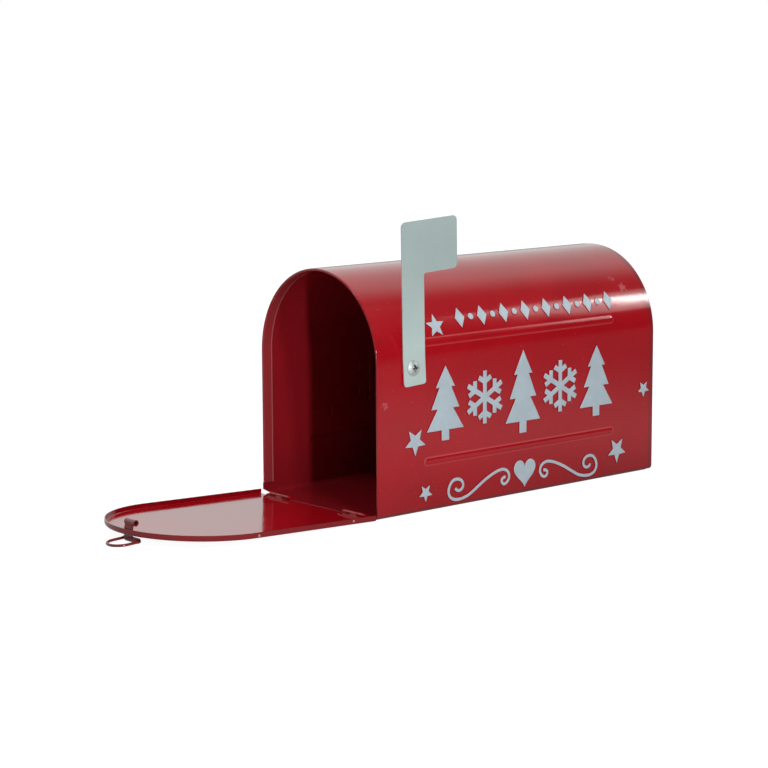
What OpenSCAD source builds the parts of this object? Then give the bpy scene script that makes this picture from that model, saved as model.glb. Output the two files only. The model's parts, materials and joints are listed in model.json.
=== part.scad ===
// Table-top post box of painted sheet steel: an arched body with a folded front hem,
// a flanged back, a drop-down door on two small hinges, and a pivoting signal flag.
// Origin: centre of the underside. The door faces -Y, the flag is on the +X wall.

/* [Body] */
// Width over the two walls
body_w = 120; // [90:1:180]
// Height of the straight walls, up to where the arch springs
wall_h = 100; // [80:1:150]
// Length from the front edge to the back edge
body_l = 263; // [245:1:400]
// Thickness of the painted sheet
sheet_t = 0.7; // [0.5:0.1:1.2]
// Outside radius of the bends between walls and floor
floor_bend_r = 3.5; // [2:0.5:6]
// Cut at the far front floor corner, along the floor
corner_cut_l = 4.5; // [2:0.5:8]
// Cut at the far front floor corner, up the wall
corner_cut_h = 3.4; // [2:0.2:6]

/* [Front hem] */
// Depth of the strip folded back inside the mouth
hem_w = 8; // [5:0.5:15]
// Open space inside the fold
hem_gap = 0.3; // [0.2:0.1:0.8]
// Height above the base at which the hem stops
hem_stop_h = 8; // [6:0.5:20]

/* [Back] */
// Depth of the back panel's flange
back_flange_h = 4.6; // [3:0.2:12]
// How far the sheet is pressed in over that flange
back_swage = 0.3; // [0.1:0.05:0.5]
// Bend radius of the back panel's flange, outside
back_bend_r = 1.5; // [1.3:0.1:4]
// Seat gap between spot-welded sheets
weld_gap = 0.05; // [0.02:0.01:0.1]

/* [Door] */
// How much wider the door is than the body
door_over_w = 1; // [0:0.2:2]
// How far the closed door's top stays below the top of the arch
door_top_gap = 0.2; // [0.1:0.1:2]
// Height of the door's flange from its outer face
door_flange_h = 3.8; // [3:0.1:3.9]
// Outside bend radius of the door's flange
door_bend_r = 1.3; // [1.3:0.1:2.4]
// Gap between the floor's front edge and the door's lower edge
door_gap = 1.7; // [1.2:0.1:3]

/* [Hinges] */
// Distance of each hinge's middle from the outside of the wall beside it
hinge_in = 21; // [16:1:30]
// Length of a hinge
hinge_l = 20; // [14:1:24]
// Width of one hinge leaf from the pin
leaf_w = 6.2; // [5:0.2:10]
// Thickness of a leaf
leaf_t = 0.6; // [0.4:0.1:0.9]
// Outside radius of the rolled knuckles
knuckle_r = 1.2; // [1.1:0.1:1.3]
// Radius of the hinge pin
pin_r = 0.6; // [0.4:0.1:0.7]
// How far each pin stands out at its ends
pin_out = 0.9; // [0.5:0.1:3]

/* [Latch] */
// Thickness of the latch strip
strip_t = 0.8; // [0.6:0.1:1]
// Width of the strip's neck
strip_neck_w = 8.5; // [6:0.5:12]
// Width of the inner roll
strip_roll_w = 10; // [9:0.5:14]
// Width of the shelf and the eye
strip_eye_w = 12.8; // [10:0.5:16]
// How far the strip and the ring stand from the door's middle, towards +X
latch_across = 4.2; // [0:0.1:5]
// Outside radius of the inner roll
roll_r = 2.05; // [1.6:0.05:2.4]
// Height of the inner roll's middle above the door's outer face
roll_rise = 7.6; // [6.5:0.1:9]
// Distance of the ring's eye from the edge of the door
eye_inset = 5.6; // [5:0.1:9]
// Gap between the door's outer face and the ring's eye
eye_drop = 1.7; // [0.1:0.1:3]

/* [Ring pull] */
// Radius of the ring's wire
wire_r = 0.9; // [0.6:0.1:1.2]
// Width of the ring, middle to middle of its wire
ring_w = 17; // [16:0.5:22]
// Reach of the ring from the eye to the far end, to the middle of the wire
ring_reach = 17.4; // [14:0.2:24]
// Radius of the bends beside the eye
ring_bend_r = 1.3; // [1.2:0.1:1.5]

/* [Flag] */
// Thickness of the flag
flag_t = 0.8; // [0.6:0.1:1.2]
// Width of the flag's arm
arm_w = 19; // [14:0.5:26]
// Height of the arm's lower end below the pivot
arm_drop = 11.8; // [9:0.2:16]
// Height of the flag's top above the pivot
flag_rise = 96; // [80:1:140]
// Height of the blade
blade_h = 34.8; // [25:0.2:50]
// Width of the blade, arm included
blade_w = 48.6; // [40:0.2:70]
// Radius of the blade's corners
blade_r = 3.4; // [2:0.2:6]
// Radius of the arm's lower corners
arm_r = 2.2; // [1:0.2:4]
// Radius of the inner corner under the blade
inner_r = 1.6; // [1:0.2:4]
// Lean of the raised flag towards the front, in degrees
flag_lean = 3.1; // [0:0.1:5]
// Set of the flag away from the wall above the pivot, in degrees
flag_set = 2.4; // [0:0.2:4]
// Distance of the pivot from the front edge
pivot_back = 29.7; // [26:0.1:50]
// Distance of the pivot below the springing of the arch
pivot_drop = 2.4; // [1:0.1:10]

/* [Flag fixing] */
// Radius of the pivot screw's shank
screw_r = 2; // [1.5:0.1:2.5]
// Radius of the screw's head
head_r = 5.2; // [4:0.1:6]
// Height of the screw's domed head
head_h = 2.4; // [1.6:0.1:3]
// Thickness of the washer between wall and flag
washer_t = 1; // [0.8:0.1:2]
// Radius of that washer
washer_r = 5; // [4:0.1:6]
// Thickness of the lock washer inside
lock_t = 0.9; // [0.6:0.1:1.2]
// Radius of the lock washer
lock_r = 3.6; // [3:0.1:4]
// Width of the nut across its flats
nut_af = 7; // [6:0.5:8]
// Thickness of the nut
nut_t = 3.2; // [2:0.1:4]

/* [Embossing] */
// Height of the pressed beads
bead_h = 0.8; // [0.5:0.1:0.9]
// Width of the pressed beads
bead_w = 5.6; // [4:0.2:8]
// Length of the pressed beads
bead_l = 181; // [120:1:210]
// Height of the raised ornaments
land_h = 0.45; // [0.3:0.05:0.6]
// Red shoulder left round the paint on each raised ornament
shoulder = 0.35; // [0.2:0.05:0.6]
// Thickness of the paint fields
paint_t = 0.12; // [0.08:0.02:0.2]

/* [Ornaments] */
// Radius of the two large stars
big_star_r = 9.4; // [6:0.2:12]
// Radius of the two small stars
small_star_r = 6.1; // [4:0.1:7]
// Radius of the star on the arch
arch_star_r = 8.2; // [5:0.2:9]
// Width of the heart
heart_w = 20.6; // [14:0.2:24]
// Height of the heart
heart_h = 19.4; // [14:0.2:22]
// Width of the scrolls' stroke
scroll_w = 2; // [1.4:0.1:2.6]
// Height of the middle fir tree
tall_tree_h = 57; // [40:1:58]
// Height of the two outer fir trees
low_tree_h = 50; // [36:1:56]
// Width of the fir trees
tree_w = 33; // [24:1:36]
// Radius of the snowflakes
flake_r = 18; // [12:0.5:18]
// Width of the snowflakes' arms
flake_arm_w = 3.4; // [2.4:0.2:4]
// Height of the lozenges in the upper row
lozenge_h = 14; // [8:0.5:16]
// Width of the lozenges
lozenge_w = 8.6; // [5:0.2:10]
// Radius of the dots between them
dot_r = 2.2; // [1.4:0.1:3]

/* [Hidden] */

// Colours
RED = [0.62, 0.03, 0.06];
PALE = [0.66, 0.77, 0.80];
FLAG_BLUE = [0.68, 0.76, 0.75];
ZINC = [0.74, 0.75, 0.74];

// Smoothness and the small overrun of every cut
$fn = 96;
over = 0.5;

// Body
arch_r = body_w / 2;
front_y = -body_l / 2;
back_y = body_l / 2;
fold_r = sheet_t + hem_gap / 2;
hem_in = 2 * sheet_t + hem_gap;

// Hinge: the pin's place, seen from the floor's front edge and top
hinge_x = arch_r - hinge_in;
run_gap = 0.05;
side_gap = 0.3;
leaf_lift = 0.4;
pin_rise = knuckle_r + leaf_lift;
door_drop = pin_rise - run_gap;
pin_y = front_y - door_gap - side_gap;
pin_z = sheet_t + pin_rise;

// Door, drawn lying flat with the pin's axis at its origin
door_w = body_w + door_over_w;
door_reach = wall_h + arch_r - door_top_gap - pin_z;
door_outer_z = -door_drop - sheet_t;

// Latch, in the same flat place: roll and neck pass under the arch of the hem, which is lower beside the middle
hem_in_r = arch_r - hem_in;
function hem_sag(w) = hem_in_r - sqrt(hem_in_r * hem_in_r - (w / 2 + latch_across) * (w / 2 + latch_across));
roll_sag = hem_sag(strip_roll_w);
neck_sag = hem_sag(strip_neck_w);
roll_y = hem_in + side_gap + roll_sag + roll_r - door_top_gap;
roll_z = door_outer_z + roll_rise;
eye_in_r = wire_r + run_gap;
eye_r = eye_in_r + strip_t;
eye_z = door_outer_z - eye_drop - eye_r;
strip_out = door_reach + door_top_gap - hem_in - neck_sag - run_gap;

// The open door rests on the eye, which just clears the table
table_gap = 0.1;
eye_reach = door_reach - eye_inset;
door_tilt = asin((table_gap + eye_r - pin_z - eye_z) / eye_reach);

// The eye's axis with the door open, and the slope of the ring that lies on the table
eye_y = pin_y - eye_reach * cos(door_tilt) + eye_z * sin(door_tilt);
eye_h = pin_z + eye_reach * sin(door_tilt) + eye_z * cos(door_tilt);
ring_slope = asin((eye_h - wire_r - table_gap) / ring_reach);

// Flag pivot, and how far the arm's middle lies in front of it
flag_offset = -1.3;
set_z = 1.3 * head_r;
pivot_y = front_y + pivot_back;
pivot_z = wall_h - pivot_drop;
flag_x = arch_r + washer_t + run_gap;
head_x = flag_x + flag_t + run_gap;
nut_x = arch_r - sheet_t - lock_t - nut_t;
screw_end = nut_t / 4;

// Beads and ornaments on a wall, seen from outside: across is along the body, up is the height
bead_across = 0;
low_bead_z = 0.335 * wall_h;
high_bead_angle = 12.4;
land_root = sheet_t / 2;
press_depth = 0.35;
press_inset = 0.5;
star_inner_share = 0.44;
big_star_shares = [[-0.376, 0.482], [0.357, 0.190]];
small_star_shares = [[-0.341, 0.128], [0.460, 0.602]];
heart_across = 1.9;
heart_z = 0.157 * wall_h;
band_z = 0.712 * wall_h;
band_pitch_share = 0.137;
row_angle = 25.5;
row_pitch_share = 0.0775;
row_start_share = -0.205;
row_count = 8;
arch_star_share = -0.2925;
arch_star_angle = 21.9;

// Outline of the box seen from the front, grown or shrunk by a sheet
module tunnel(inset = 0) {
    r = floor_bend_r - inset;
    translate([0, wall_h]) circle(r = arch_r - inset);
    translate([-arch_r + inset, floor_bend_r]) square([body_w - 2 * inset, wall_h - floor_bend_r]);
    translate([-arch_r + floor_bend_r, inset]) square([body_w - 2 * floor_bend_r, floor_bend_r]);
    for (side = [-1, 1])
        translate([side * (arch_r - floor_bend_r), floor_bend_r]) circle(r = r, $fn = 48);
}

// A slice of that outline from y0 to y1
module tunnel_solid(y0, y1, inset = 0) {
    translate([0, y1, 0]) rotate([90, 0, 0]) linear_extrude(y1 - y0) tunnel(inset);
}

// The sheet at the foot of the mouth, below the hem, which reaches the front edge unfolded
module mouth_foot() {
    intersection() {
        tunnel_solid(front_y, front_y + hem_w, 0);
        translate([-body_w, front_y, 0]) cube([2 * body_w, hem_w, hem_stop_h]);
    }
}

// The folded strip inside the mouth, open at the floor
module hem() {
    difference() {
        tunnel_solid(front_y + fold_r, front_y + hem_w, sheet_t + hem_gap);
        tunnel_solid(front_y - over, front_y + hem_w + over, hem_in);
        translate([-body_w, front_y - over, -over])
            cube([2 * body_w, hem_w + 2 * over, hem_stop_h + over]);
    }
    hem_fold();
}

// Cross-section of the fold: half a tube, round towards the front
module fold_section() {
    difference() {
        circle(r = fold_r, $fn = 32);
        circle(r = hem_gap / 2, $fn = 24);
        translate([-body_w, 0]) square([2 * body_w, body_w]);
    }
}

// The rounded front edge along both walls and the arch
module hem_fold() {
    for (side = [-1, 1])
        translate([side * (arch_r - fold_r), front_y + fold_r, hem_stop_h])
            linear_extrude(wall_h - hem_stop_h) fold_section();
    translate([0, front_y + fold_r, wall_h]) rotate([90, 0, 0])
        rotate_extrude(angle = 180, $fn = 180) translate([arch_r - fold_r, 0])
            rotate([180, 0, 0]) fold_section();
}

// A pressed bead: a low round rib with round ends, its crown at the given height
module bead(rise) {
    rib_r = (bead_h * bead_h + bead_w * bead_w / 4) / (2 * bead_h);
    half = bead_l / 2 - bead_w / 2;
    translate([rise - rib_r, 0, 0]) {
        rotate([90, 0, 0]) cylinder(r = rib_r, h = 2 * half, center = true, $fn = 64);
        for (end = [-1, 1]) translate([0, end * half, 0]) sphere(r = rib_r, $fn = 64);
    }
}

// Both beads of one wall, raised by the given height over the face of the sheet
module beads(lift) {
    translate([arch_r + lift, bead_across, low_bead_z]) bead(bead_h);
    translate([0, bead_across, wall_h]) rotate([0, -high_bead_angle, 0])
        translate([arch_r + lift, 0, 0]) bead(bead_h);
}

// Flat ornaments, each with its outline grown by g
module star(r, g = 0) {
    rr = r + g / sin(36);
    polygon([for (i = [0:9])
        let (a = 90 + 36 * i, q = i % 2 == 0 ? rr : rr * star_inner_share)
        [q * cos(a), q * sin(a)]]);
}

module heart(g = 0) {
    steps = 48;
    polygon([for (i = [0:steps - 1])
        let (t = 360 * i / steps)
        [(heart_w / 2 + g) * pow(sin(t), 3),
         (heart_h + 2 * g) * (13 * cos(t) - 5 * cos(2 * t) - 2 * cos(3 * t) - cos(4 * t)) / 29]]);
}

module lozenge(g = 0) {
    polygon([[lozenge_w / 2 + g, 0], [0, lozenge_h / 2 + g],
             [-lozenge_w / 2 - g, 0], [0, -lozenge_h / 2 - g]]);
}

// A fir tree of three tiers and a trunk, standing on its base
module fir_tree(h, g = 0) {
    tiers = 3;
    tier_shares = [1, 0.76, 0.52];
    notch_share = 0.42;
    trunk_h = 0.14 * h;
    trunk_w = 0.2 * tree_w;
    tier_h = (h - trunk_h) / tiers;
    right = [for (i = [0:tiers - 1])
        let (z = trunk_h + i * tier_h, w = tier_shares[i] * tree_w / 2)
        each [[w + g, z - g], [notch_share * w + g, z + tier_h]]];
    outline = concat([[trunk_w / 2 + g, -g], [trunk_w / 2 + g, trunk_h - g]],
                     [for (i = [0:len(right) - 2]) right[i]], [[0, h + 2 * g]]);
    mirrored = [for (i = [len(outline) - 2:-1:0]) [-outline[i][0], outline[i][1]]];
    polygon(concat(outline, mirrored));
}

// A snowflake with six arms and a pair of twigs near each tip
module snowflake(g = 0) {
    twig_share = 0.58;
    twig_l = 0.36 * flake_r;
    for (i = [0:5]) rotate(60 * i) {
        translate([-flake_arm_w / 2 - g, 0]) square([flake_arm_w + 2 * g, flake_r + g]);
        for (side = [-1, 1]) translate([0, twig_share * flake_r]) rotate(60 * side)
            translate([-flake_arm_w / 2 - g, 0]) square([flake_arm_w + 2 * g, twig_l + g]);
    }
}

// A line of points drawn with a width, for the scrolls

function path_normal(pts, i) =
    let (a = pts[max(i - 1, 0)], b = pts[min(i + 1, len(pts) - 1)], d = b - a)
    [-d[1], d[0]] / norm(d);

function stroke(pts, w) = concat(
    [for (i = [0:len(pts) - 1]) pts[i] + path_normal(pts, i) * w / 2],
    [for (i = [len(pts) - 1:-1:0]) pts[i] - path_normal(pts, i) * w / 2]);

// Middle line of a scroll, from the curl beside the heart outwards, in shares of the heart's width
scroll_shares = [
    [0.930, -0.083], [0.991, -0.093], [1.058, -0.143], [1.062, -0.214], [1.012, -0.285], [0.941, -0.309], [0.860, -0.289],
    [0.779, -0.224], [0.728, -0.133], [0.728, -0.022], [0.779, 0.079], [0.880, 0.156], [1.021, 0.191], [1.183, 0.180],
    [1.365, 0.136], [1.547, 0.069], [1.871, -0.078], [2.195, -0.260], [2.518, -0.436], [2.680, -0.493], [2.842, -0.527],
    [3.024, -0.542], [3.186, -0.524], [3.327, -0.463], [3.418, -0.366], [3.453, -0.245], [3.433, -0.123], [3.368, 0.008],
    [3.257, 0.104], [3.125, 0.136], [2.984, 0.120], [2.872, 0.059], [2.811, -0.042], [2.817, -0.143], [2.882, -0.224],
    [2.984, -0.254], [3.075, -0.234], [3.122, -0.192]];
knob_share = 0.04;
curve_steps = 3;

// A smooth line through points
function smooth(p, n) = let (last = len(p) - 1) concat(
    [for (i = [0:last - 1], k = [0:n - 1])
        let (t = k / n, a = p[max(i - 1, 0)], b = p[i], c = p[i + 1], d = p[min(i + 2, last)])
        (2 * b + (c - a) * t + (2 * a - 5 * b + 4 * c - d) * t * t + (3 * b - a - 3 * c + d) * t * t * t) / 2],
    [p[last]]);

function scroll_path() = smooth([for (q = scroll_shares) q * heart_w], curve_steps);

module scroll(g = 0) {
    path = scroll_path();
    polygon(stroke(path, scroll_w + 2 * g));
    for (end = [path[0], path[len(path) - 1]])
        translate(end) circle(r = (0.5 + knob_share) * scroll_w + g, $fn = 24);
}

// Every flat ornament of a wall: across is 0 at mid-length, up is 0 at the base
module wall_ornaments(g = 0) {
    for (s = big_star_shares) translate([s[0] * body_l, s[1] * wall_h]) mirror([0, 1]) star(big_star_r, g);
    for (s = small_star_shares) translate([s[0] * body_l, s[1] * wall_h]) mirror([0, 1]) star(small_star_r, g);
    translate([heart_across, heart_z]) {
        heart(g);
        for (side = [0, 1]) mirror([side, 0]) scroll(g);
    }
    band_ornaments(g);
}

// The band between the beads: three trees with a snowflake between each two
module band_ornaments(g = 0) {
    pitch = band_pitch_share * body_l;
    translate([0, band_z - tall_tree_h / 2]) fir_tree(tall_tree_h, g);
    for (side = [-1, 1]) {
        translate([side * pitch, band_z]) snowflake(g);
        translate([2 * side * pitch, band_z - low_tree_h / 2]) fir_tree(low_tree_h, g);
    }
}

// The row above the upper bead: lozenges with dots between
module row_ornaments(g = 0) {
    pitch = row_pitch_share * body_l;
    for (i = [0:row_count - 1]) translate([row_start_share * body_l + i * pitch, 0]) lozenge(g);
    for (i = [0:row_count - 2])
        translate([row_start_share * body_l + (i + 0.5) * pitch, 0]) circle(r = dot_r + g, $fn = 32);
}

// Ornaments set on the outside of the right wall, between two heights over the sheet
module wall_layer(low, high, g) {
    translate([arch_r + low, 0, 0]) rotate([90, 0, 90]) linear_extrude(high - low) wall_ornaments(g);
}

// Ornaments that follow the arch, cut to a round top
module arch_layer(low, high, g) {
    difference() {
        intersection() {
            union() {
                arch_prism(row_angle, high) row_ornaments(g);
                arch_prism(arch_star_angle, high) translate([arch_star_share * body_l, 0]) star(arch_star_r, g);
            }
            arch_bar(high);
        }
        if (low > 0) arch_bar(low);
    }
}

module arch_prism(angle, high) {
    translate([0, 0, wall_h]) rotate([0, -angle, 0]) translate([arch_r - land_root, 0, 0])
        rotate([90, 0, 90]) linear_extrude(land_root + high + over) children();
}

module arch_bar(lift) {
    translate([0, 0, wall_h]) rotate([90, 0, 0])
        cylinder(r = arch_r + lift, h = body_l, center = true, $fn = 180);
}

// What is pressed out of one wall: beads and raised lands
module pressed_out() {
    beads(0);
    wall_layer(-land_root, land_h, shoulder);
    arch_layer(-land_root, land_h, shoulder);
}

// The hollows that pressing leaves on the inside of that wall
module pressed_in() {
    beads(-sheet_t);
    translate([arch_r - sheet_t - over, 0, 0]) rotate([90, 0, 90])
        linear_extrude(press_depth + over) band_ornaments(-press_inset);
}

module body_shell() {
    color(RED) difference() {
        union() {
            difference() {
                union() {
                    tunnel_solid(front_y + fold_r, back_y - back_flange_h, 0);
                    mouth_foot();
                    tunnel_solid(back_y - back_flange_h - over, back_y, back_swage);
                    for (turn = [0, 180]) rotate([0, 0, turn]) pressed_out();
                }
                tunnel_solid(front_y - over, back_y - back_flange_h - sheet_t, sheet_t);
                tunnel_solid(back_y - back_flange_h - sheet_t - over, back_y + over, sheet_t + back_swage);
            }
            hem();
        }
        for (turn = [0, 180]) rotate([0, 0, turn]) pressed_in();
        far_corner_cut();
        pivot_hole();
    }
}

// The clipped corner where the far wall meets the floor's front edge
module far_corner_cut() {
    translate([-arch_r - over, front_y, 0]) rotate([90, 0, 90])
        linear_extrude(floor_bend_r + over)
            polygon([[-over, -over], [corner_cut_l, -over], [corner_cut_l, sheet_t],
                     [0, corner_cut_h], [-over, corner_cut_h]]);
}

module pivot_hole() {
    translate([arch_r - sheet_t - over, pivot_y, pivot_z]) rotate([0, 90, 0])
        cylinder(r = screw_r + run_gap, h = sheet_t + 2 * over, $fn = 48);
}

// Section of a flange with its bend: the outer face is at 0, the plate's face at the bottom
module flange_section(h, bend_r) {
    translate([-sheet_t, bend_r]) square([sheet_t, h - bend_r]);
    translate([-bend_r - over, 0]) square([over, sheet_t]);
    translate([-bend_r, bend_r]) difference() {
        circle(r = bend_r, $fn = 32);
        circle(r = bend_r - sheet_t, $fn = 32);
        translate([-2 * bend_r, -2 * bend_r]) square([2 * bend_r, 4 * bend_r]);
        translate([-2 * bend_r, 0]) square([4 * bend_r, 2 * bend_r]);
    }
}

// Outline of a panel with an arched end, its straight sides from 0 to side_l
module arched_outline(r, side_l) {
    translate([-r, 0]) square([2 * r, side_l]);
    translate([0, side_l]) intersection() {
        circle(r = r, $fn = 180);
        translate([-r, -side_l / 2]) square([2 * r, r + side_l]);
    }
}

// A flanged panel with an arched end: lies on its face, straight sides along Y, arch at +Y
module arched_pan(w, side_l, h, bend_r) {
    r = w / 2;
    for (side = [0, 1]) mirror([side, 0, 0])
        translate([r, side_l, 0]) rotate([90, 0, 0]) linear_extrude(side_l) flange_section(h, bend_r);
    translate([0, side_l, 0]) rotate_extrude(angle = 180, $fn = 180)
        translate([r, 0]) flange_section(h, bend_r);
    linear_extrude(sheet_t) arched_outline(r - bend_r, side_l);
    translate([0, 0, bend_r]) linear_extrude(h - bend_r) difference() {
        arched_outline(r, side_l);
        arched_outline(r - sheet_t, side_l);
    }
}

// The back panel: a shallow tray, its flange towards the back edge
module back_panel() {
    inset = back_swage + sheet_t + weld_gap;
    bottom = inset + floor_bend_r;
    color(RED) {
        translate([0, back_y - back_flange_h, bottom]) rotate([90, 0, 180])
            arched_pan(body_w - 2 * inset, wall_h - bottom, back_flange_h, back_bend_r);
        back_foot(inset, bottom);
    }
}

// The lower edge of the back panel, flanged along the floor between the two bends
module back_foot(inset, bottom) {
    half = arch_r - sheet_t - back_swage - floor_bend_r;
    translate([-half, back_y - back_flange_h, inset]) {
        cube([2 * half, sheet_t, bottom - inset + over]);
        cube([2 * half, back_flange_h, sheet_t]);
    }
}

// Puts a flat-drawn door piece on its pin, tilted as the open door lies
module on_door() {
    translate([0, pin_y, pin_z]) rotate([-door_tilt, 0, 0]) children();
}

module door_pan() {
    r = door_w / 2;
    edge = side_gap;
    side_l = door_reach - r + edge;
    color(RED) on_door() difference() {
        translate([0, edge, door_outer_z]) mirror([0, 1, 0])
            arched_pan(door_w, side_l, door_flange_h, door_bend_r);
        translate([latch_across - strip_neck_w / 2 - run_gap, -strip_out - run_gap, door_outer_z - over])
            cube([strip_neck_w + 2 * run_gap, strip_t + 2 * run_gap, sheet_t + door_bend_r]);
    }
}

// Knuckles of a hinge along X, for the given intervals
module knuckle(x0, x1, side, drop) {
    translate([x0, 0, 0]) rotate([0, 90, 0]) cylinder(r = knuckle_r, h = x1 - x0, $fn = 48);
    web = knuckle_r - pin_r;
    translate([x0, side > 0 ? pin_r : -knuckle_r, -drop]) cube([x1 - x0, web, drop]);
}

module pin_bore() {
    rotate([0, 90, 0]) cylinder(r = pin_r + run_gap, h = 2 * hinge_l, center = true, $fn = 48);
}

// The leaf on the floor carries the two outer knuckles
module floor_leaf(x) {
    third = hinge_l / 3;
    color(RED) translate([x, pin_y, pin_z]) difference() {
        union() {
            translate([-hinge_l / 2, pin_r, -pin_rise]) cube([hinge_l, leaf_w - pin_r, leaf_t]);
            for (side = [-1, 1]) translate([side * third, 0, 0])
                knuckle(-third / 2 + side_gap / 2, third / 2 - side_gap / 2, 1, pin_rise);
        }
        pin_bore();
        translate([-third / 2 - side_gap / 2, -over, -pin_rise - over])
            cube([third + side_gap, over + knuckle_r + side_gap, 2 * pin_rise + over]);
    }
}

// The leaf on the door carries the middle knuckle
module door_leaf(x) {
    third = hinge_l / 3;
    color(RED) on_door() translate([x, 0, 0]) difference() {
        union() {
            translate([-hinge_l / 2, -leaf_w, -door_drop]) cube([hinge_l, leaf_w - pin_r, leaf_t]);
            knuckle(-third / 2 + side_gap / 2, third / 2 - side_gap / 2, -1, door_drop);
        }
        pin_bore();
        for (side = [-1, 1]) translate([side * third - third / 2 - side_gap / 2, -knuckle_r - side_gap, -door_drop - over])
            cube([third + side_gap, knuckle_r + side_gap + over, 2 * door_drop + over]);
    }
}

// A pin with a small round head at each end
module hinge_pin(x) {
    color(ZINC) translate([x, pin_y, pin_z]) rotate([0, 90, 0]) {
        cylinder(r = pin_r, h = hinge_l + 2 * pin_out, center = true, $fn = 48);
        for (side = [-1, 1]) translate([0, 0, side * (hinge_l + pin_out + side_gap) / 2])
            cylinder(r = (pin_r + knuckle_r) / 2, h = pin_out - side_gap, center = true, $fn = 48);
    }
}

// The latch strip, seen along X: distance from the pin is to the left, height is up
module strip_section(y0, z0, y1, z1) {
    d = [y1 - y0, z1 - z0];
    n = [-d[1], d[0]] / norm(d) * strip_t / 2;
    polygon([[y0, z0] + n, [y1, z1] + n, [y1, z1] - n, [y0, z0] - n]);
}

module along_x(w) {
    translate([-w / 2, 0, 0]) rotate([90, 0, 90]) linear_extrude(w) children();
}

module tube_section(y, z, r) {
    translate([y, z]) difference() {
        circle(r = r, $fn = 48);
        circle(r = r - strip_t, $fn = 48);
    }
}

// One bent strip: rolled end inside, neck down the rim, through the slot, eye outside
module latch_strip() {
    roll_c = -(door_reach - roll_y);
    wall_c = -(strip_out - strip_t / 2);
    shelf_z = eye_z + eye_r - strip_t / 2;
    knee_z = door_outer_z + door_flange_h;
    color(RED) on_door() translate([latch_across, 0, 0]) {
        along_x(strip_roll_w) tube_section(roll_c, roll_z, roll_r);
        along_x(strip_neck_w) {
            difference() {
                strip_section(roll_c - roll_r + strip_t, roll_z, wall_c, knee_z);
                translate([roll_c, roll_z]) circle(r = roll_r - strip_t / 2, $fn = 48);
            }
            translate([wall_c, knee_z]) circle(r = strip_t / 2, $fn = 24);
            translate([wall_c - strip_t / 2, shelf_z]) square([strip_t, knee_z - shelf_z]);
            translate([wall_c, shelf_z]) circle(r = strip_t / 2, $fn = 24);
        }
        along_x(strip_eye_w) {
            translate([wall_c, shelf_z - strip_t / 2]) square([-eye_reach - wall_c, strip_t]);
            tube_section(-eye_reach, eye_z, eye_r);
        }
    }
}

// The D-shaped pull: a straight run through the eye, two bends, two legs and a round bow
module ring_pull() {
    half = ring_w / 2;
    leg_l = ring_reach - half - ring_bend_r;
    color(RED) translate([latch_across, eye_y, eye_h]) rotate([ring_slope, 0, 0]) mirror([0, 1, 0]) {
        rotate([0, 90, 0]) cylinder(r = wire_r, h = ring_w - 2 * ring_bend_r, center = true, $fn = 48);
        for (side = [-1, 1]) {
            translate([side * (half - ring_bend_r), ring_bend_r, 0])
                rotate([0, 0, side > 0 ? -90 : 180]) rotate_extrude(angle = 90, $fn = 48)
                    translate([ring_bend_r, 0]) circle(r = wire_r, $fn = 48);
            translate([side * half, ring_bend_r, 0]) rotate([-90, 0, 0])
                cylinder(r = wire_r, h = leg_l, $fn = 48);
        }
        translate([0, ring_bend_r + leg_l, 0]) rotate_extrude(angle = 180, $fn = 96)
            translate([half, 0]) circle(r = wire_r, $fn = 48);
    }
}

// A rectangle with four round corners, from its lower left corner
module rounded(size, r) {
    translate([r, 0]) square([size[0] - 2 * r, size[1]]);
    translate([0, r]) square([size[0], size[1] - 2 * r]);
    for (x = [r, size[0] - r], z = [r, size[1] - r]) translate([x, z]) circle(r = r, $fn = 48);
}

// The flag's outline round its pivot, with the blade towards the back
module flag_outline() {
    left = -arm_w / 2 - flag_offset;
    blade_low = flag_rise - blade_h;
    translate([left, blade_low]) rounded([blade_w, blade_h], blade_r);
    translate([left, -arm_drop]) rounded([arm_w, flag_rise + arm_drop - blade_r], arm_r);
    translate([left, blade_low - arm_r]) square([arm_w, blade_h / 2]);
    translate([left + arm_w, blade_low - inner_r]) difference() {
        square([inner_r, inner_r + flag_t]);
        translate([inner_r, 0]) circle(r = inner_r, $fn = 48);
    }
}

// The flag's thickness seen along the body: flat at the pivot, set away from the wall above it
module flag_section() {
    top = flag_rise + over;
    out = (top - set_z) * tan(flag_set);
    polygon([[0, -arm_drop - over], [0, set_z], [out, top], [out + flag_t / cos(flag_set), top],
             [flag_t, set_z - flag_t * tan(flag_set / 2)], [flag_t, -arm_drop - over]]);
}

module flag() {
    color(FLAG_BLUE) translate([flag_x, pivot_y, pivot_z]) rotate([flag_lean, 0, 0]) difference() {
        intersection() {
            rotate([90, 0, 90]) linear_extrude(2 * flag_t + (flag_rise - set_z) * tan(flag_set)) flag_outline();
            translate([0, body_l, 0]) rotate([90, 0, 0]) linear_extrude(2 * body_l) flag_section();
        }
        translate([-over, 0, 0]) rotate([0, 90, 0]) cylinder(r = screw_r + run_gap, h = flag_t + 2 * over, $fn = 48);
    }
}

module at_pivot(x) {
    translate([x, pivot_y, pivot_z]) rotate([0, 90, 0]) children();
}

// Half of the domed head's outline: a rim, then an arc up to the crown
module head_section() {
    rim_h = head_h / 6;
    rise = head_h - rim_h;
    dome_r = (rise * rise + head_r * head_r) / (2 * rise);
    square([head_r, rim_h]);
    translate([0, head_h - dome_r]) intersection() {
        circle(r = dome_r, $fn = 64);
        translate([0, dome_r - rise]) square([head_r, rise]);
    }
}

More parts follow.
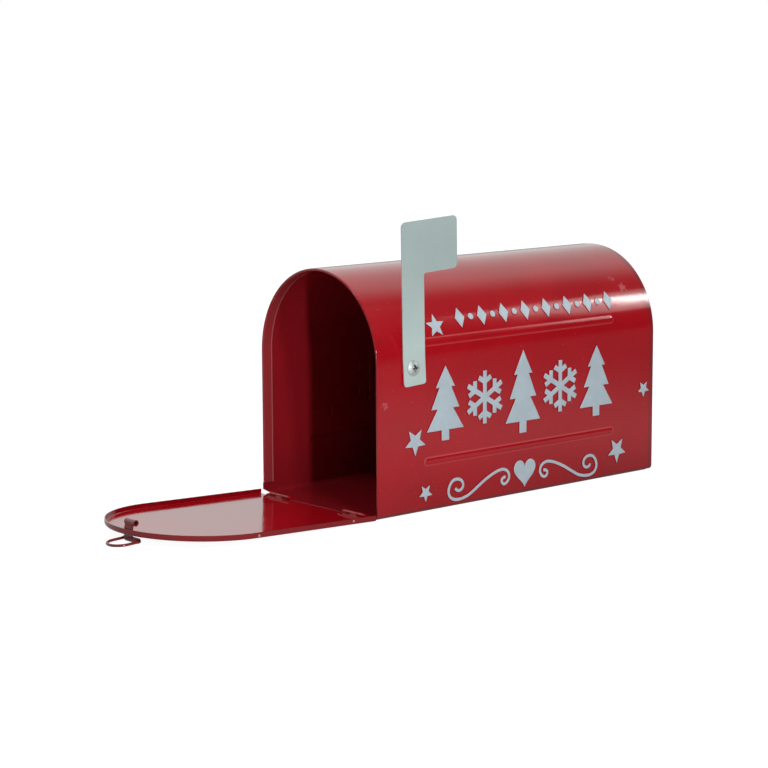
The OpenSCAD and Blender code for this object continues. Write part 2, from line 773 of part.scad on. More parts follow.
// Domed pivot screw with a cross recess, its shank through the wall to the nut
module flag_screw() {
    slot_w = head_r / 5;
    slot_l = head_r;
    color(ZINC) difference() {
        union() {
            at_pivot(nut_x - screw_end)
                cylinder(r = screw_r, h = head_x - nut_x + screw_end + run_gap, $fn = 48);
            at_pivot(head_x) rotate_extrude($fn = 64) head_section();
        }
        translate([head_x + head_h / 2, pivot_y, pivot_z]) rotate([25, 0, 0]) {
            translate([0, -slot_l / 2, -slot_w / 2]) cube([head_h, slot_l, slot_w]);
            translate([0, -slot_w / 2, -slot_l / 2]) cube([head_h, slot_w, slot_l]);
        }
    }
}

module washer_ring(x, r, t) {
    difference() {
        at_pivot(x) cylinder(r = r, h = t, $fn = 64);
        at_pivot(x - over) cylinder(r = screw_r + run_gap, h = t + 2 * over, $fn = 48);
    }
}

module flag_washer() {
    color(ZINC) washer_ring(arch_r, washer_r, washer_t);
}

// A split lock washer under the nut
module lock_washer() {
    color(ZINC) difference() {
        washer_ring(arch_r - sheet_t - lock_t, lock_r, lock_t);
        translate([arch_r - sheet_t - lock_t - over, pivot_y - side_gap, pivot_z])
            cube([lock_t + 2 * over, 2 * side_gap, lock_r + over]);
    }
}

module flag_nut() {
    color(ZINC) difference() {
        at_pivot(nut_x) cylinder(r = nut_af / sqrt(3), h = nut_t, $fn = 6);
        at_pivot(nut_x - over) cylinder(r = screw_r + run_gap, h = nut_t + 2 * over, $fn = 48);
    }
}

// The paint fields that lie on the raised ornaments
module paint_fields() {
    color(PALE) {
        wall_layer(land_h, land_h + paint_t, 0);
        arch_layer(land_h, land_h + paint_t, 0);
    }
}

module paint_right() {
    paint_fields();
}

module paint_left() {
    rotate([0, 0, 180]) paint_fields();
}

body_shell();
back_panel();
door_pan();
floor_leaf(-hinge_x);  // floor_leaf_left
floor_leaf(hinge_x);  // floor_leaf_right
door_leaf(-hinge_x);  // door_leaf_left
door_leaf(hinge_x);  // door_leaf_right
hinge_pin(-hinge_x);  // hinge_pin_left
hinge_pin(hinge_x);  // hinge_pin_right
latch_strip();
ring_pull();
flag();
flag_screw();
flag_washer();
lock_washer();
flag_nut();
paint_right();
paint_left();
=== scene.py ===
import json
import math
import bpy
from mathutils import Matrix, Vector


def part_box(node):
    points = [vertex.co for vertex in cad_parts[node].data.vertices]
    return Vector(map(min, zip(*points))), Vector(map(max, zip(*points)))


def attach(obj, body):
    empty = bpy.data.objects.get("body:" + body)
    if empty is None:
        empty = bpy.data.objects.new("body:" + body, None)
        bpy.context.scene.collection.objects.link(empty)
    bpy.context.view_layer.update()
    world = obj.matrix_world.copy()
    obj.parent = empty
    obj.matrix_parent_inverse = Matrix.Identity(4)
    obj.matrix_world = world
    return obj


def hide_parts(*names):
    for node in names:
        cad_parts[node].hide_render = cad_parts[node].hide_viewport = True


bl_info = {
    "name": "Metal Mailbox",
    "version": (1, 0, 0),
    "blender": (4, 5, 0),
    "location": "3D View > Sidebar > Mailbox",
    "description": "Dresses the packed metal mailbox with enamel, raised paint, fittings and a stage",
    "category": "Add Mesh",
}

import bmesh
import bpy
import numpy as np
from bpy.props import FloatProperty, FloatVectorProperty, IntProperty, PointerProperty
from bpy.types import Operator, Panel, PropertyGroup
from mathutils import Matrix, Vector
from mathutils.geometry import delaunay_2d_cdt

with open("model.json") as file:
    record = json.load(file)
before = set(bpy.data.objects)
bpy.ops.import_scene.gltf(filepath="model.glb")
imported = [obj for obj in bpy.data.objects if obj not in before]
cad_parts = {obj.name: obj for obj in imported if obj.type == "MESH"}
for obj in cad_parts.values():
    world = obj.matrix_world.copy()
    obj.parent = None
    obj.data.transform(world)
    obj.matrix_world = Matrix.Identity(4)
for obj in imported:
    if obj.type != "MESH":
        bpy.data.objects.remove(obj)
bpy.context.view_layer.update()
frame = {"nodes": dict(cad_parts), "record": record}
MM = 0.001

# Sizes that the sheet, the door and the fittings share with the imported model
BODY_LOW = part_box("body_shell")[0]
BACK_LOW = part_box("back_panel")[0]
PAN_LOW, PAN_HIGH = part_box("door_pan")
LEAF_LOW, LEAF_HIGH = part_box("floor_leaf_right")
SCREW_LOW, SCREW_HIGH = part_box("flag_screw")
NUT_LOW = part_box("flag_nut")[0]
PAN_HALF = (PAN_HIGH.x - PAN_LOW.x) / 2
ARCH_R = 60 * MM
SPRING_Z = 100 * MM
FLOOR_BEND = 3.5 * MM
SHEET = 0.7 * MM
HEM_W = 8 * MM
HEM_STOP = 8 * MM
LEAF_T = 0.6 * MM
SHANK_R = 2 * MM
LAND = 0.45 * MM
BEAD_RISE = 0.8 * MM
BEAD_W = 5.6 * MM
BEAD_HALF = 90.5 * MM
BEAD_Z = 33.5 * MM
BEAD_ANGLE = math.radians(12.4)
PIN_Y = BODY_LOW.y - 2 * MM
PIN_Z = 2.3 * MM


def linear(r, g, b):
    """A colour given in 0 to 255, as linear light."""
    return tuple(c / 12.92 / 255 if c < 11 else ((c / 255 + 0.055) / 1.055) ** 2.4 for c in (r, g, b))


# Settings


class MailboxEnamel(PropertyGroup):
    """Colours and surface of the enamel."""

    red: FloatVectorProperty(name="Red", description="Enamel of the sheet metal", subtype="COLOR",
                             size=3, default=linear(174, 12, 26), min=0, max=1)
    pale: FloatVectorProperty(name="Ornament paint", description="Paint on the raised ornaments",
                              subtype="COLOR", size=3, default=linear(184, 200, 209), min=0, max=1)
    flag: FloatVectorProperty(name="Flag paint", description="Enamel of the signal flag",
                              subtype="COLOR", size=3, default=linear(192, 211, 208), min=0, max=1)
    roughness: FloatProperty(name="Roughness", description="Roughness of the red enamel", default=0.11,
                             min=0.02, max=0.6, subtype="FACTOR")
    peel: FloatProperty(name="Orange peel", description="Depth of the fine ripple in the enamel",
                        default=0.012 * MM, min=0, max=0.1 * MM, subtype="DISTANCE", precision=5)
    wave: FloatProperty(name="Sheet waves", description="Depth of the slow waves in the sheet",
                        default=0.45 * MM, min=0, max=2 * MM, subtype="DISTANCE", precision=4)
    # Painted shade: how much darker the sheet's inner face is painted, for the shade inside the box
    inside: FloatProperty(name="Shaded inside", description="How much duller the sheet's inner face is",
                          default=0.45, min=0, max=0.9, subtype="FACTOR")
    edge: FloatProperty(name="Edge round", description="Softness of bent and pressed edges",
                        default=0.22 * MM, min=0.01 * MM, max=1 * MM, subtype="DISTANCE", precision=4)


class MailboxOrnaments(PropertyGroup):
    """Sizes of the raised paint."""

    step: FloatProperty(name="Mesh step", description="Spacing of the points inside an ornament",
                        default=0.85 * MM, min=0.4 * MM, max=3 * MM, subtype="DISTANCE", precision=4)
    lip: FloatProperty(name="Paint edge", description="Height of the paint at its edge",
                       default=0.06 * MM, min=0.01 * MM, max=0.2 * MM, subtype="DISTANCE", precision=4)
    belly: FloatProperty(name="Paint crown", description="Rise of the paint towards the middle",
                         default=0.16 * MM, min=0, max=0.5 * MM, subtype="DISTANCE", precision=4)
    soft: FloatProperty(name="Edge width", description="Distance over which the paint rises",
                        default=1.1 * MM, min=0.2 * MM, max=4 * MM, subtype="DISTANCE", precision=4)


class MailboxFittings(PropertyGroup):
    """Sizes of the weld marks and the screw thread."""

    weld_radius: FloatProperty(name="Weld mark", description="Radius of a spot weld's mark",
                               default=1.15 * MM, min=0.5 * MM, max=2 * MM, subtype="DISTANCE",
                               precision=4)
    weld_rise: FloatProperty(name="Weld rim", description="Height of the rim round a weld mark",
                             default=0.05 * MM, min=0.01 * MM, max=0.2 * MM, subtype="DISTANCE",
                             precision=4)
    welds: IntProperty(name="Welds", description="Weld marks on each hinge leaf", default=3, min=1,
                       max=6)
    thread_pitch: FloatProperty(name="Thread pitch", description="Pitch of the screw's thread",
                                default=0.7 * MM, min=0.3 * MM, max=1.5 * MM, subtype="DISTANCE",
                                precision=4)
    thread_depth: FloatProperty(name="Thread depth", description="Radius of the thread's ridge",
                                default=0.2 * MM, min=0.05 * MM, max=0.4 * MM, subtype="DISTANCE",
                                precision=4)


class MailboxStage(PropertyGroup):
    """Floor, lamps and surroundings."""

    floor_size: FloatProperty(name="Floor", description="Side of the square floor", default=8.0, min=2,
                              max=40, subtype="DISTANCE")
    sky: FloatProperty(name="Sky", description="Strength of the soft light from above", default=0.26,
                       min=0, max=2)
    low_key: FloatProperty(name="Low key", description="Power of the low lamp beside the mouth",
                           default=4.3, min=0, max=200, subtype="POWER")
    high_key: FloatProperty(name="High key", description="Power of the high lamp beside the mouth",
                            default=7.8, min=0, max=200, subtype="POWER")
    front: FloatProperty(name="Front lamp", description="Power of the soft lamp above the door",
                         default=4.8, min=0, max=200, subtype="POWER")
    rim: FloatProperty(name="Rear lamp", description="Power of the lamp mirrored by the arch",
                       default=1.8, min=0, max=200, subtype="POWER")


SETTINGS = {"mailbox_enamel": MailboxEnamel, "mailbox_ornaments": MailboxOrnaments,
            "mailbox_fittings": MailboxFittings, "mailbox_stage": MailboxStage}


# Finishes


def feed(tree, socket, value):
    """Links the socket to the value, or sets it to a number or colour."""
    if isinstance(value, bpy.types.NodeSocket):
        tree.links.new(value, socket)
    else:
        socket.default_value = value


def joined(tree, operation, a, b=0.0, clamp=False):
    """One Math node."""
    made = tree.nodes.new("ShaderNodeMath")
    made.operation, made.use_clamp = operation, clamp
    feed(tree, made.inputs[0], a)
    feed(tree, made.inputs[1], b)
    return made.outputs[0]


def falloff(tree, value, low, high, start=0.0, end=1.0):
    """Goes smoothly from start to end while the value goes from low to high."""
    made = tree.nodes.new("ShaderNodeMapRange")
    made.interpolation_type = "SMOOTHSTEP"
    tree.links.new(value, made.inputs["Value"])
    for key, number in (("From Min", low), ("From Max", high), ("To Min", start), ("To Max", end)):
        made.inputs[key].default_value = number
    return made.outputs["Result"]


class Nodes:
    """Short calls for the nodes of a tree."""

    def node(self, kind, **values):
        made = self.tree.nodes.new(kind)
        for key, value in values.items():
            setattr(made, key, value)
        return made

    def link(self, out, socket):
        self.tree.links.new(out, socket)


class Finish(Nodes):
    """A material being made: its node tree, its shader and short calls for its nodes."""

    def __init__(self, name, **sockets):
        self.material = bpy.data.materials.new(name)
        self.material.use_nodes = True
        self.tree = self.material.node_tree
        self.tree.nodes.clear()
        self.shader = self.node("ShaderNodeBsdfPrincipled")
        out = self.node("ShaderNodeOutputMaterial")
        self.link(self.shader.outputs[0], out.inputs["Surface"])
        for key, value in sockets.items():
            self.shader.inputs[key.replace("_", " ")].default_value = value
        self.place = self.node("ShaderNodeTexCoord").outputs["Object"]

    def noise(self, size, detail=2.0, roughness=0.5, stretch=(1, 1, 1)):
        """Noise whose features are about this many metres wide."""
        mapping = self.node("ShaderNodeMapping")
        self.link(self.place, mapping.inputs["Vector"])
        mapping.inputs["Scale"].default_value = [s / size for s in stretch]
        made = self.node("ShaderNodeTexNoise")
        self.link(mapping.outputs[0], made.inputs["Vector"])
        made.inputs["Scale"].default_value = 1.0
        made.inputs["Detail"].default_value = detail
        made.inputs["Roughness"].default_value = roughness
        return made.outputs["Fac"]

    def math(self, operation, a, b=0.0):
        return joined(self.tree, operation, a, b)

    def both(self, a, b):
        return self.math("MULTIPLY", a, b)

    def far(self, a, b):
        """The root of the sum of the squares; neither may be negative."""
        return self.math("SQRT", self.math("ADD", self.math("POWER", a, 2.0), self.math("POWER", b, 2.0)))

    def step(self, value, low, high, start=0.0, end=1.0):
        return falloff(self.tree, value, low, high, start, end)

    def blend(self, amount, a, b):
        """Goes from colour a to colour b by the amount."""
        made = self.node("ShaderNodeMix", data_type="RGBA")
        feed(self.tree, made.inputs[0], amount)
        for socket, value in ((made.inputs[6], a), (made.inputs[7], b)):
            feed(self.tree, socket, (*value, 1.0) if isinstance(value, tuple) else value)
        return made.outputs[2]

    def parts(self, vector=None):
        """The X, Y and Z of a vector, or of the place on the object."""
        made = self.node("ShaderNodeSeparateXYZ")
        self.link(vector or self.place, made.inputs[0])
        return made.outputs

    def spot(self, centre, radius, ragged):
        """1 near a point of the object, 0 away from it, with a ragged edge."""
        shift = self.node("ShaderNodeVectorMath", operation="SUBTRACT")
        self.link(self.place, shift.inputs[0])
        shift.inputs[1].default_value = centre
        scale = self.node("ShaderNodeVectorMath", operation="MULTIPLY")
        self.link(shift.outputs[0], scale.inputs[0])
        scale.inputs[1].default_value = [1 / radius] * 3
        length = self.node("ShaderNodeVectorMath", operation="LENGTH")
        self.link(scale.outputs[0], length.inputs[0])
        rough = self.both(self.math("SUBTRACT", self.noise(radius * 0.7, 3), 0.5), ragged * 4)
        return self.step(self.math("ADD", length.outputs["Value"], rough), 0.8, 1.05, 1.0, 0.0)

    def bump(self, height, distance, normal=None):
        made = self.node("ShaderNodeBump")
        made.inputs["Strength"].default_value = 1.0
        made.inputs["Distance"].default_value = distance
        self.link(height, made.inputs["Height"])
        if normal:
            self.link(normal, made.inputs["Normal"])
        return made.outputs[0]


def shade(colour, amount):
    return tuple(c * amount for c in colour)


# Wear that the photograph shows: place on the object and radius, in millimetres
CHIPS = (((60.6, -229.3, 5.0), 0.9), ((60.6, -152.2, 3.0), 0.8), ((4.0, -280.0, 7.0), 0.7))
SPECKS = (((45.0, -125.4, 139.7), 0.6), ((57.7, -126.5, 116.6), 0.8), ((60.0, 128.2, 77.3), 1.2))
SCUFFS = (((45.0, 102.4, 139.6), 2.6), ((49.8, 108.8, 133.5), 3.2), ((60.0, -124.8, 74.9), 2.6))

# Painted shade: how much darker the foot of the walls, the door's flange and the flag's head are painted, and
# where
FOOT_SHADE, FOOT_TOP = 0.2, 42 * MM
FLANGE_SHADE = 0.42
HEAD_SHADE, HEAD_FROM, HEAD_TO = 0.28, 100 * MM, 175 * MM
# Painted highlights along the beads' feet and the hem's fold, rubbed places, bare and dark spots, specks of
# dust, and painted shade on the inner face
CREASE_HIGHLIGHT, FOLD_HIGHLIGHT, RUBBED_TONE = linear(236, 128, 130), linear(224, 150, 152), linear(205, 120, 122)
CHIP_TONE, SPECK_TONE, DUST_TONE = linear(172, 162, 142), linear(96, 40, 40), linear(206, 150, 146)
INSIDE_SHADE = linear(112, 36, 44)
# Where along X the hinge pins turn from bare to painted
PIN_BARE = -48.4 * MM


def painted_body_shading(f, tone, inside):
    """Painted shade inside and towards the foot, painted highlights along the beads' feet and the hem's fold,
    and a lighter band over the hem.
    """
    where = f.parts()
    x, z = f.math("ABSOLUTE", where["X"]), where["Z"]
    over = f.math("MAXIMUM", f.math("SUBTRACT", z, SPRING_Z), 0.0)
    across = f.far(x, over)
    angle = f.math("ARCTAN2", over, x)
    beyond = f.math("SUBTRACT", f.math("ABSOLUTE", where["Y"]), BEAD_HALF - BEAD_W / 2)
    beyond = f.math("MAXIMUM", beyond, 0.0)
    swell, foot = 0.0, 0.0
    over_low_bead = f.math("SUBTRACT", z, BEAD_Z)
    over_high_bead = f.both(f.math("SUBTRACT", angle, BEAD_ANGLE), ARCH_R)
    for height in (over_low_bead, over_high_bead):
        share = f.both(f.far(f.math("ABSOLUTE", height), beyond), 2 / BEAD_W)
        rise = f.math("SUBTRACT", 1.0, f.math("POWER", share, 2.0))
        swell = f.math("ADD", swell, f.math("MAXIMUM", rise, 0.0))
        # Painted highlight: a light line along each bead's foot, stronger on its upper side
        crease_highlight = f.both(f.step(share, 0.66, 0.86), f.step(share, 0.98, 1.2, 1, 0))
        lit = f.step(height, -0.3 * BEAD_W, 0.3 * BEAD_W, 0.15, 0.3)
        foot = f.math("ADD", foot, f.both(crease_highlight, lit))
    flat = f.math("SUBTRACT", across, f.both(swell, BEAD_RISE))
    inner = f.both(f.step(flat, ARCH_R - 0.14 * MM, ARCH_R - 0.08 * MM, 1, 0),
                   f.step(z, 0.3 * MM, 0.4 * MM))
    outside = f.math("SUBTRACT", 1.0, inner)
    tone = f.blend(f.both(foot, outside), tone, CREASE_HIGHLIGHT)
    # Painted shade: the inner face darker, for the shade inside the box
    tone = f.blend(f.both(inner, inside), tone, INSIDE_SHADE)
    # Painted shade: the walls darker towards their foot
    tone = f.blend(f.step(z, 0.0, FOOT_TOP, FOOT_SHADE, 0), tone, (0, 0, 0))
    hem = f.step(across, ARCH_R - 1.2 * MM, ARCH_R - 1.1 * MM, 1, 0)
    hem = f.both(hem, f.step(z, HEM_STOP, HEM_STOP + 0.2 * MM))
    depth = f.math("SUBTRACT", where["Y"], BODY_LOW.y)
    # The hem's inner layer, over the hem's width, is a little lighter
    band = f.step(depth, HEM_W - 0.1 * MM, HEM_W + 0.1 * MM, 0.13, 0)
    tone = f.blend(f.both(hem, band), tone, RUBBED_TONE)
    # Painted highlight: a light line along the hem's folded edge
    line = f.both(f.step(depth, HEM_W - 1.1 * MM, HEM_W - 0.7 * MM),
                  f.step(depth, HEM_W + 0.05 * MM, HEM_W + 0.15 * MM, 1, 0))
    return f.blend(f.both(f.both(hem, line), 0.3), tone, FOLD_HIGHLIGHT)


def painted_flange_shade(f, tone):
    """Painted shade on the door's flange, which stands along its straight sides and round its arch."""
    where = f.parts()
    beyond = f.math("SUBTRACT", where["Y"], PAN_LOW.y + PAN_HALF)
    beyond = f.math("ABSOLUTE", f.math("MINIMUM", beyond, 0.0))
    x = f.math("ABSOLUTE", where["X"])
    flange = f.step(f.far(x, beyond), PAN_HALF - 1.1 * MM, PAN_HALF - 0.6 * MM, 0, FLANGE_SHADE)
    return f.blend(flange, tone, (0, 0, 0))


def enamel(name, colour, context, waves=1.0, worn_and_shaded=True, folded=False):
    """Glossy sprayed enamel on sheet steel, with ripple, waves, chips and rubbed places, and painted shade
    and highlights on the body and on the door's flange.
    """
    look = context.scene.mailbox_enamel
    f = Finish(name, Roughness=look.roughness, IOR=1.5)
    cloud = f.noise(48 * MM, 3, 0.6)
    grain = f.noise(6 * MM, 4, 0.65)
    tone = f.blend(f.step(cloud, 0.35, 0.7), shade(colour, 0.93), shade(colour, 1.05))
    tone = f.blend(f.step(grain, 0.4, 0.75, 0, 0.35), tone, shade(colour, 0.88))
    if folded:
        tone = painted_body_shading(f, tone, look.inside)
    # On the door, painted shade darkens the flange; chips, specks and rubbed places follow below
    elif worn_and_shaded:
        tone = painted_flange_shade(f, tone)
    dust = f.noise(1.1 * MM, 1.0, 0.4)
    tone = f.blend(f.step(dust, 0.76, 0.82, 0, 0.35), tone, DUST_TONE)
    rough = f.step(cloud, 0.3, 0.75, look.roughness * 0.85, look.roughness * 1.2)
    if worn_and_shaded:
        for centre, radius in SCUFFS:
            mark = f.spot([c * MM for c in centre], radius * MM, 0.7)
            mark = f.both(mark, f.step(grain, 0.35, 0.65))
            tone = f.blend(f.both(mark, 0.4), tone, RUBBED_TONE)
            rough = f.math("ADD", rough, f.both(mark, 0.3))
        for marks, paint in ((CHIPS, CHIP_TONE), (SPECKS, SPECK_TONE)):
            for centre, radius in marks:
                mark = f.spot([c * MM for c in centre], radius * MM, 0.5)
                tone = f.blend(mark, tone, paint)
    f.link(tone, f.shader.inputs["Base Color"])
    f.link(rough, f.shader.inputs["Roughness"])
    soft = f.node("ShaderNodeBevel", samples=4)
    soft.inputs["Radius"].default_value = look.edge
    ripple = f.bump(f.noise(1.6 * MM, 2.0, 0.5), look.peel, soft.outputs[0])
    if waves:
        ripple = f.bump(f.noise(62 * MM, 1.0, 0.4, (1.3, 0.8, 1)), look.wave * waves, ripple)
    f.link(ripple, f.shader.inputs["Normal"])
    return f.material


def ornament_paint(context):
    """Pale brushed-on paint, a little thin at its edges."""
    colour = tuple(context.scene.mailbox_enamel.pale)
    f = Finish("Ornament_paint", Roughness=0.34, IOR=1.48)
    cloud, grain = f.noise(9 * MM, 3, 0.6), f.noise(1.3 * MM, 3, 0.6)
    tone = f.blend(f.step(cloud, 0.35, 0.7), shade(colour, 0.94), shade(colour, 1.03))
    tone = f.blend(f.step(grain, 0.5, 0.8, 0, 0.3), tone, shade(colour, 0.86))
    f.link(tone, f.shader.inputs["Base Color"])
    f.link(f.step(cloud, 0.3, 0.7, 0.28, 0.42), f.shader.inputs["Roughness"])
    f.link(f.bump(f.noise(0.9 * MM, 2, 0.5), 0.02 * MM), f.shader.inputs["Normal"])
    return f.material


def flag_paint(context):
    """Satin enamel of the flag with faint smudges, and painted shade that darkens it towards its head."""
    colour = tuple(context.scene.mailbox_enamel.flag)
    f = Finish("Flag_enamel", Roughness=0.4, IOR=1.48)
    cloud, smear = f.noise(30 * MM, 3, 0.55), f.noise(11 * MM, 4, 0.6, (1, 1.6, 0.5))
    tone = f.blend(f.step(cloud, 0.3, 0.75), shade(colour, 0.95), shade(colour, 1.03))
    tone = f.blend(f.step(smear, 0.55, 0.8, 0, 0.25), tone, shade(colour, 0.84))
    # Painted shade: the flag darker towards its head
    head = f.step(f.parts()["Z"], HEAD_FROM, HEAD_TO, 0, HEAD_SHADE)
    tone = f.blend(head, tone, shade(colour, 0.2))
    f.link(tone, f.shader.inputs["Base Color"])
    f.link(f.step(smear, 0.3, 0.8, 0.34, 0.5), f.shader.inputs["Roughness"])
    ripple = f.bump(f.noise(1.8 * MM, 2, 0.5), 0.012 * MM)
    f.link(f.bump(f.noise(45 * MM, 1, 0.4), 0.35 * MM, ripple), f.shader.inputs["Normal"])
    return f.material


def pin_steel(context):
    """Hinge pin oversprayed with enamel, bare at one end."""
    f = Finish("Pin_steel", Roughness=0.3)
    ragged = f.both(f.math("SUBTRACT", f.noise(1.2 * MM, 2), 0.5), 1.6 * MM)
    along = f.math("ADD", f.parts()["X"], ragged)
    bare = f.step(along, PIN_BARE - 0.2 * MM, PIN_BARE + 0.2 * MM, 1, 0)
    f.link(f.blend(bare, red(context, 0.85), linear(188, 190, 186)), f.shader.inputs["Base Color"])
    f.link(bare, f.shader.inputs["Metallic"])
    f.link(f.step(bare, 0, 1, 0.16, 0.34), f.shader.inputs["Roughness"])
    return f.material


def zinc(context, name="Zinc_plate", recess_shade=False):
    """Zinc-plated steel with fine rubbing and dull patches, and painted shade where a cross is cut in."""
    f = Finish(name, Metallic=0.5, Roughness=0.3)
    cloud, grain = f.noise(2.4 * MM, 3, 0.6), f.noise(0.35 * MM, 3, 0.6)
    tone = f.blend(f.step(cloud, 0.35, 0.7), linear(188, 194, 194), linear(222, 226, 222))
    tone = f.blend(f.step(grain, 0.55, 0.8, 0, 0.4), tone, linear(120, 122, 120))
    # Painted shade: the screw head's cross recess darker
    if recess_shade:
        shift = f.node("ShaderNodeVectorMath", operation="SUBTRACT")
        f.link(f.place, shift.inputs[0])
        shift.inputs[1].default_value = (SCREW_LOW + SCREW_HIGH) / 2
        around = f.parts(shift.outputs[0])
        y, z = (f.math("ABSOLUTE", around[k]) for k in "YZ")
        cross_shade = f.step(f.math("MINIMUM", y, z), 0.42 * MM, 0.62 * MM, 1, 0)
        reach = f.step(f.math("MAXIMUM", y, z), 1.9 * MM, 2.5 * MM, 1, 0)
        cross_shade = f.both(f.both(cross_shade, reach), f.step(around["X"], 0.0, 0.2 * MM))
        tone = f.blend(f.both(cross_shade, 0.9), tone, linear(44, 50, 48))
    f.link(tone, f.shader.inputs["Base Color"])
    f.link(f.step(cloud, 0.3, 0.75, 0.42, 0.58), f.shader.inputs["Roughness"])
    soft = f.node("ShaderNodeBevel", samples=4)
    soft.inputs["Radius"].default_value = 0.12 * MM
    f.link(f.bump(grain, 0.01 * MM, soft.outputs[0]), f.shader.inputs["Normal"])
    return f.material


def red(context, amount=1.0):
    return shade(tuple(context.scene.mailbox_enamel.red), amount)


LATCH_TONE = linear(132, 42, 40)

MAKERS = {
    "Body_enamel": lambda c: enamel("Body_enamel", red(c), c, folded=True),
    "Door_enamel": lambda c: enamel("Door_enamel", red(c), c, 0.25),
    "Latch_enamel": lambda c: enamel("Latch_enamel", LATCH_TONE, c, 0, False),
    "Small_enamel": lambda c: enamel("Small_enamel", red(c, 0.8), c, 0, False),
    "Ornament_paint": ornament_paint,
    "Flag_enamel": flag_paint,
    "Pin_steel": pin_steel,
    "Zinc_plate": zinc,
    "Screw_zinc": lambda c: zinc(c, "Screw_zinc", True),
}


def finish_named(name, context):
    return bpy.data.materials.get(name) or MAKERS[name](context)


# Meshes


def add_piece(name, mesh, body, material, stands_for=()):
    """Puts a finished mesh into the scene and ties it to its body."""
    mesh.materials.clear()
    mesh.materials.append(material)
    piece = bpy.data.objects.new(name, mesh)
    bpy.context.scene.collection.objects.link(piece)
    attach(piece, body)
    if stands_for:
        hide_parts(*stands_for)
    return piece


def merged_copy(node, flatten=False):
    """A node's mesh with its loose triangles joined, and its flat faces dissolved if asked."""
    bm = bmesh.new()
    bm.from_mesh(frame["nodes"][node].data)
    bmesh.ops.remove_doubles(bm, verts=bm.verts, dist=1e-6)
    bmesh.ops.dissolve_degenerate(bm, edges=bm.edges, dist=1e-7)
    if flatten:
        bmesh.ops.dissolve_limit(bm, angle_limit=math.radians(0.4), verts=bm.verts, edges=bm.edges)
    mesh = bpy.data.meshes.new(node)
    bm.to_mesh(mesh)
    bm.free()
    return mesh


def mesh_arrays(mesh):
    """Points, face normals, face areas, and the point and face of each corner."""
    points = np.empty(len(mesh.vertices) * 3)
    mesh.vertices.foreach_get("co", points)
    normals = np.empty(len(mesh.polygons) * 3)
    mesh.polygons.foreach_get("normal", normals)
    areas = np.empty(len(mesh.polygons))
    mesh.polygons.foreach_get("area", areas)
    corner_point = np.empty(len(mesh.loops), dtype=np.int64)
    mesh.loops.foreach_get("vertex_index", corner_point)
    totals = np.empty(len(mesh.polygons), dtype=np.int64)
    mesh.polygons.foreach_get("loop_total", totals)
    corner_face = np.repeat(np.arange(len(mesh.polygons)), totals)
    return points.reshape(-1, 3), normals.reshape(-1, 3), areas, corner_point, corner_face


def face_outward(mesh):
    """Joins points that coincide and turns the faces outward."""
    bm = bmesh.new()
    bm.from_mesh(mesh)
    bmesh.ops.remove_doubles(bm, verts=bm.verts, dist=1e-7)
    bmesh.ops.recalc_face_normals(bm, faces=bm.faces)
    bm.to_mesh(mesh)
    bm.free()


def area_normals(mesh, angle):
    """Corner normals: the mean, by area, of the faces round a point that lie within the angle."""
    points, normals, areas, corner_point, corner_face = mesh_arrays(mesh)
    limit = math.cos(angle)
    order = np.argsort(corner_point, kind="stable")
    starts = np.searchsorted(corner_point[order], np.arange(len(points) + 1))
    result = normals[corner_face].copy()
    for k in range(len(points)):
        corners = order[starts[k]:starts[k + 1]]
        faces = corner_face[corners]
        n = normals[faces]
        near = (n @ n.T) > limit
        total = near @ (n * areas[faces][:, None])
        length = np.linalg.norm(total, axis=1, keepdims=True)
        result[corners] = np.where(length > 1e-15, total / np.maximum(length, 1e-15), n)
    return result


def set_normals(mesh, corner_normals):
    mesh.shade_smooth()
    mesh.normals_split_custom_set([tuple(n) for n in corner_normals])


def dress(node, name, body, material, angle, round_edges=0.0, extra=()):
    """The node's own shape, joined and smoothly shaded, in place of its loose triangles."""
    mesh = merged_copy(node, round_edges > 0)
    if extra:
        bm = bmesh.new()
        for part in (mesh, *extra):
            bm.from_mesh(part)
        bm.to_mesh(mesh)
        bm.free()
    if round_edges:
        carrier = bpy.data.objects.new("carrier", mesh)
        bpy.context.scene.collection.objects.link(carrier)
        bevel = carrier.modifiers.new("edges", "BEVEL")
        bevel.width, bevel.segments = round_edges, 2
        bevel.limit_method, bevel.angle_limit = "ANGLE", math.radians(40)
        graph = bpy.context.evaluated_depsgraph_get()
        mesh = bpy.data.meshes.new_from_object(carrier.evaluated_get(graph))
        bpy.data.objects.remove(carrier)
    set_normals(mesh, area_normals(mesh, math.radians(angle)))
    mesh.name = name
    return add_piece(name, mesh, body, material, (node,))


# The folded body

# Corners flatter than this are shaded smooth; faces turned less than this from the sheet lie on it
SMOOTH_ANGLE, SHEET_ANGLE = math.radians(35), math.radians(8)
# How far a sheet face may vary in height, and how far inside the floor's bend a wall still counts
SHEET_GAP, WALL_BAND = 0.13 * MM, 3 * MM
# How much of its own slope a bead's shading keeps, and the share of its width where that fades out
BEAD_SLOPE, BEAD_FADE, BEAD_SHARE = 0.55, 1.1, 0.45
# Faces over a bead's side, and those flat on its crown, by their reach from its middle
BEAD_SIDE, BEAD_CROWN = BEAD_W / 2 + 0.15 * MM, BEAD_W / 2 - 0.5 * MM


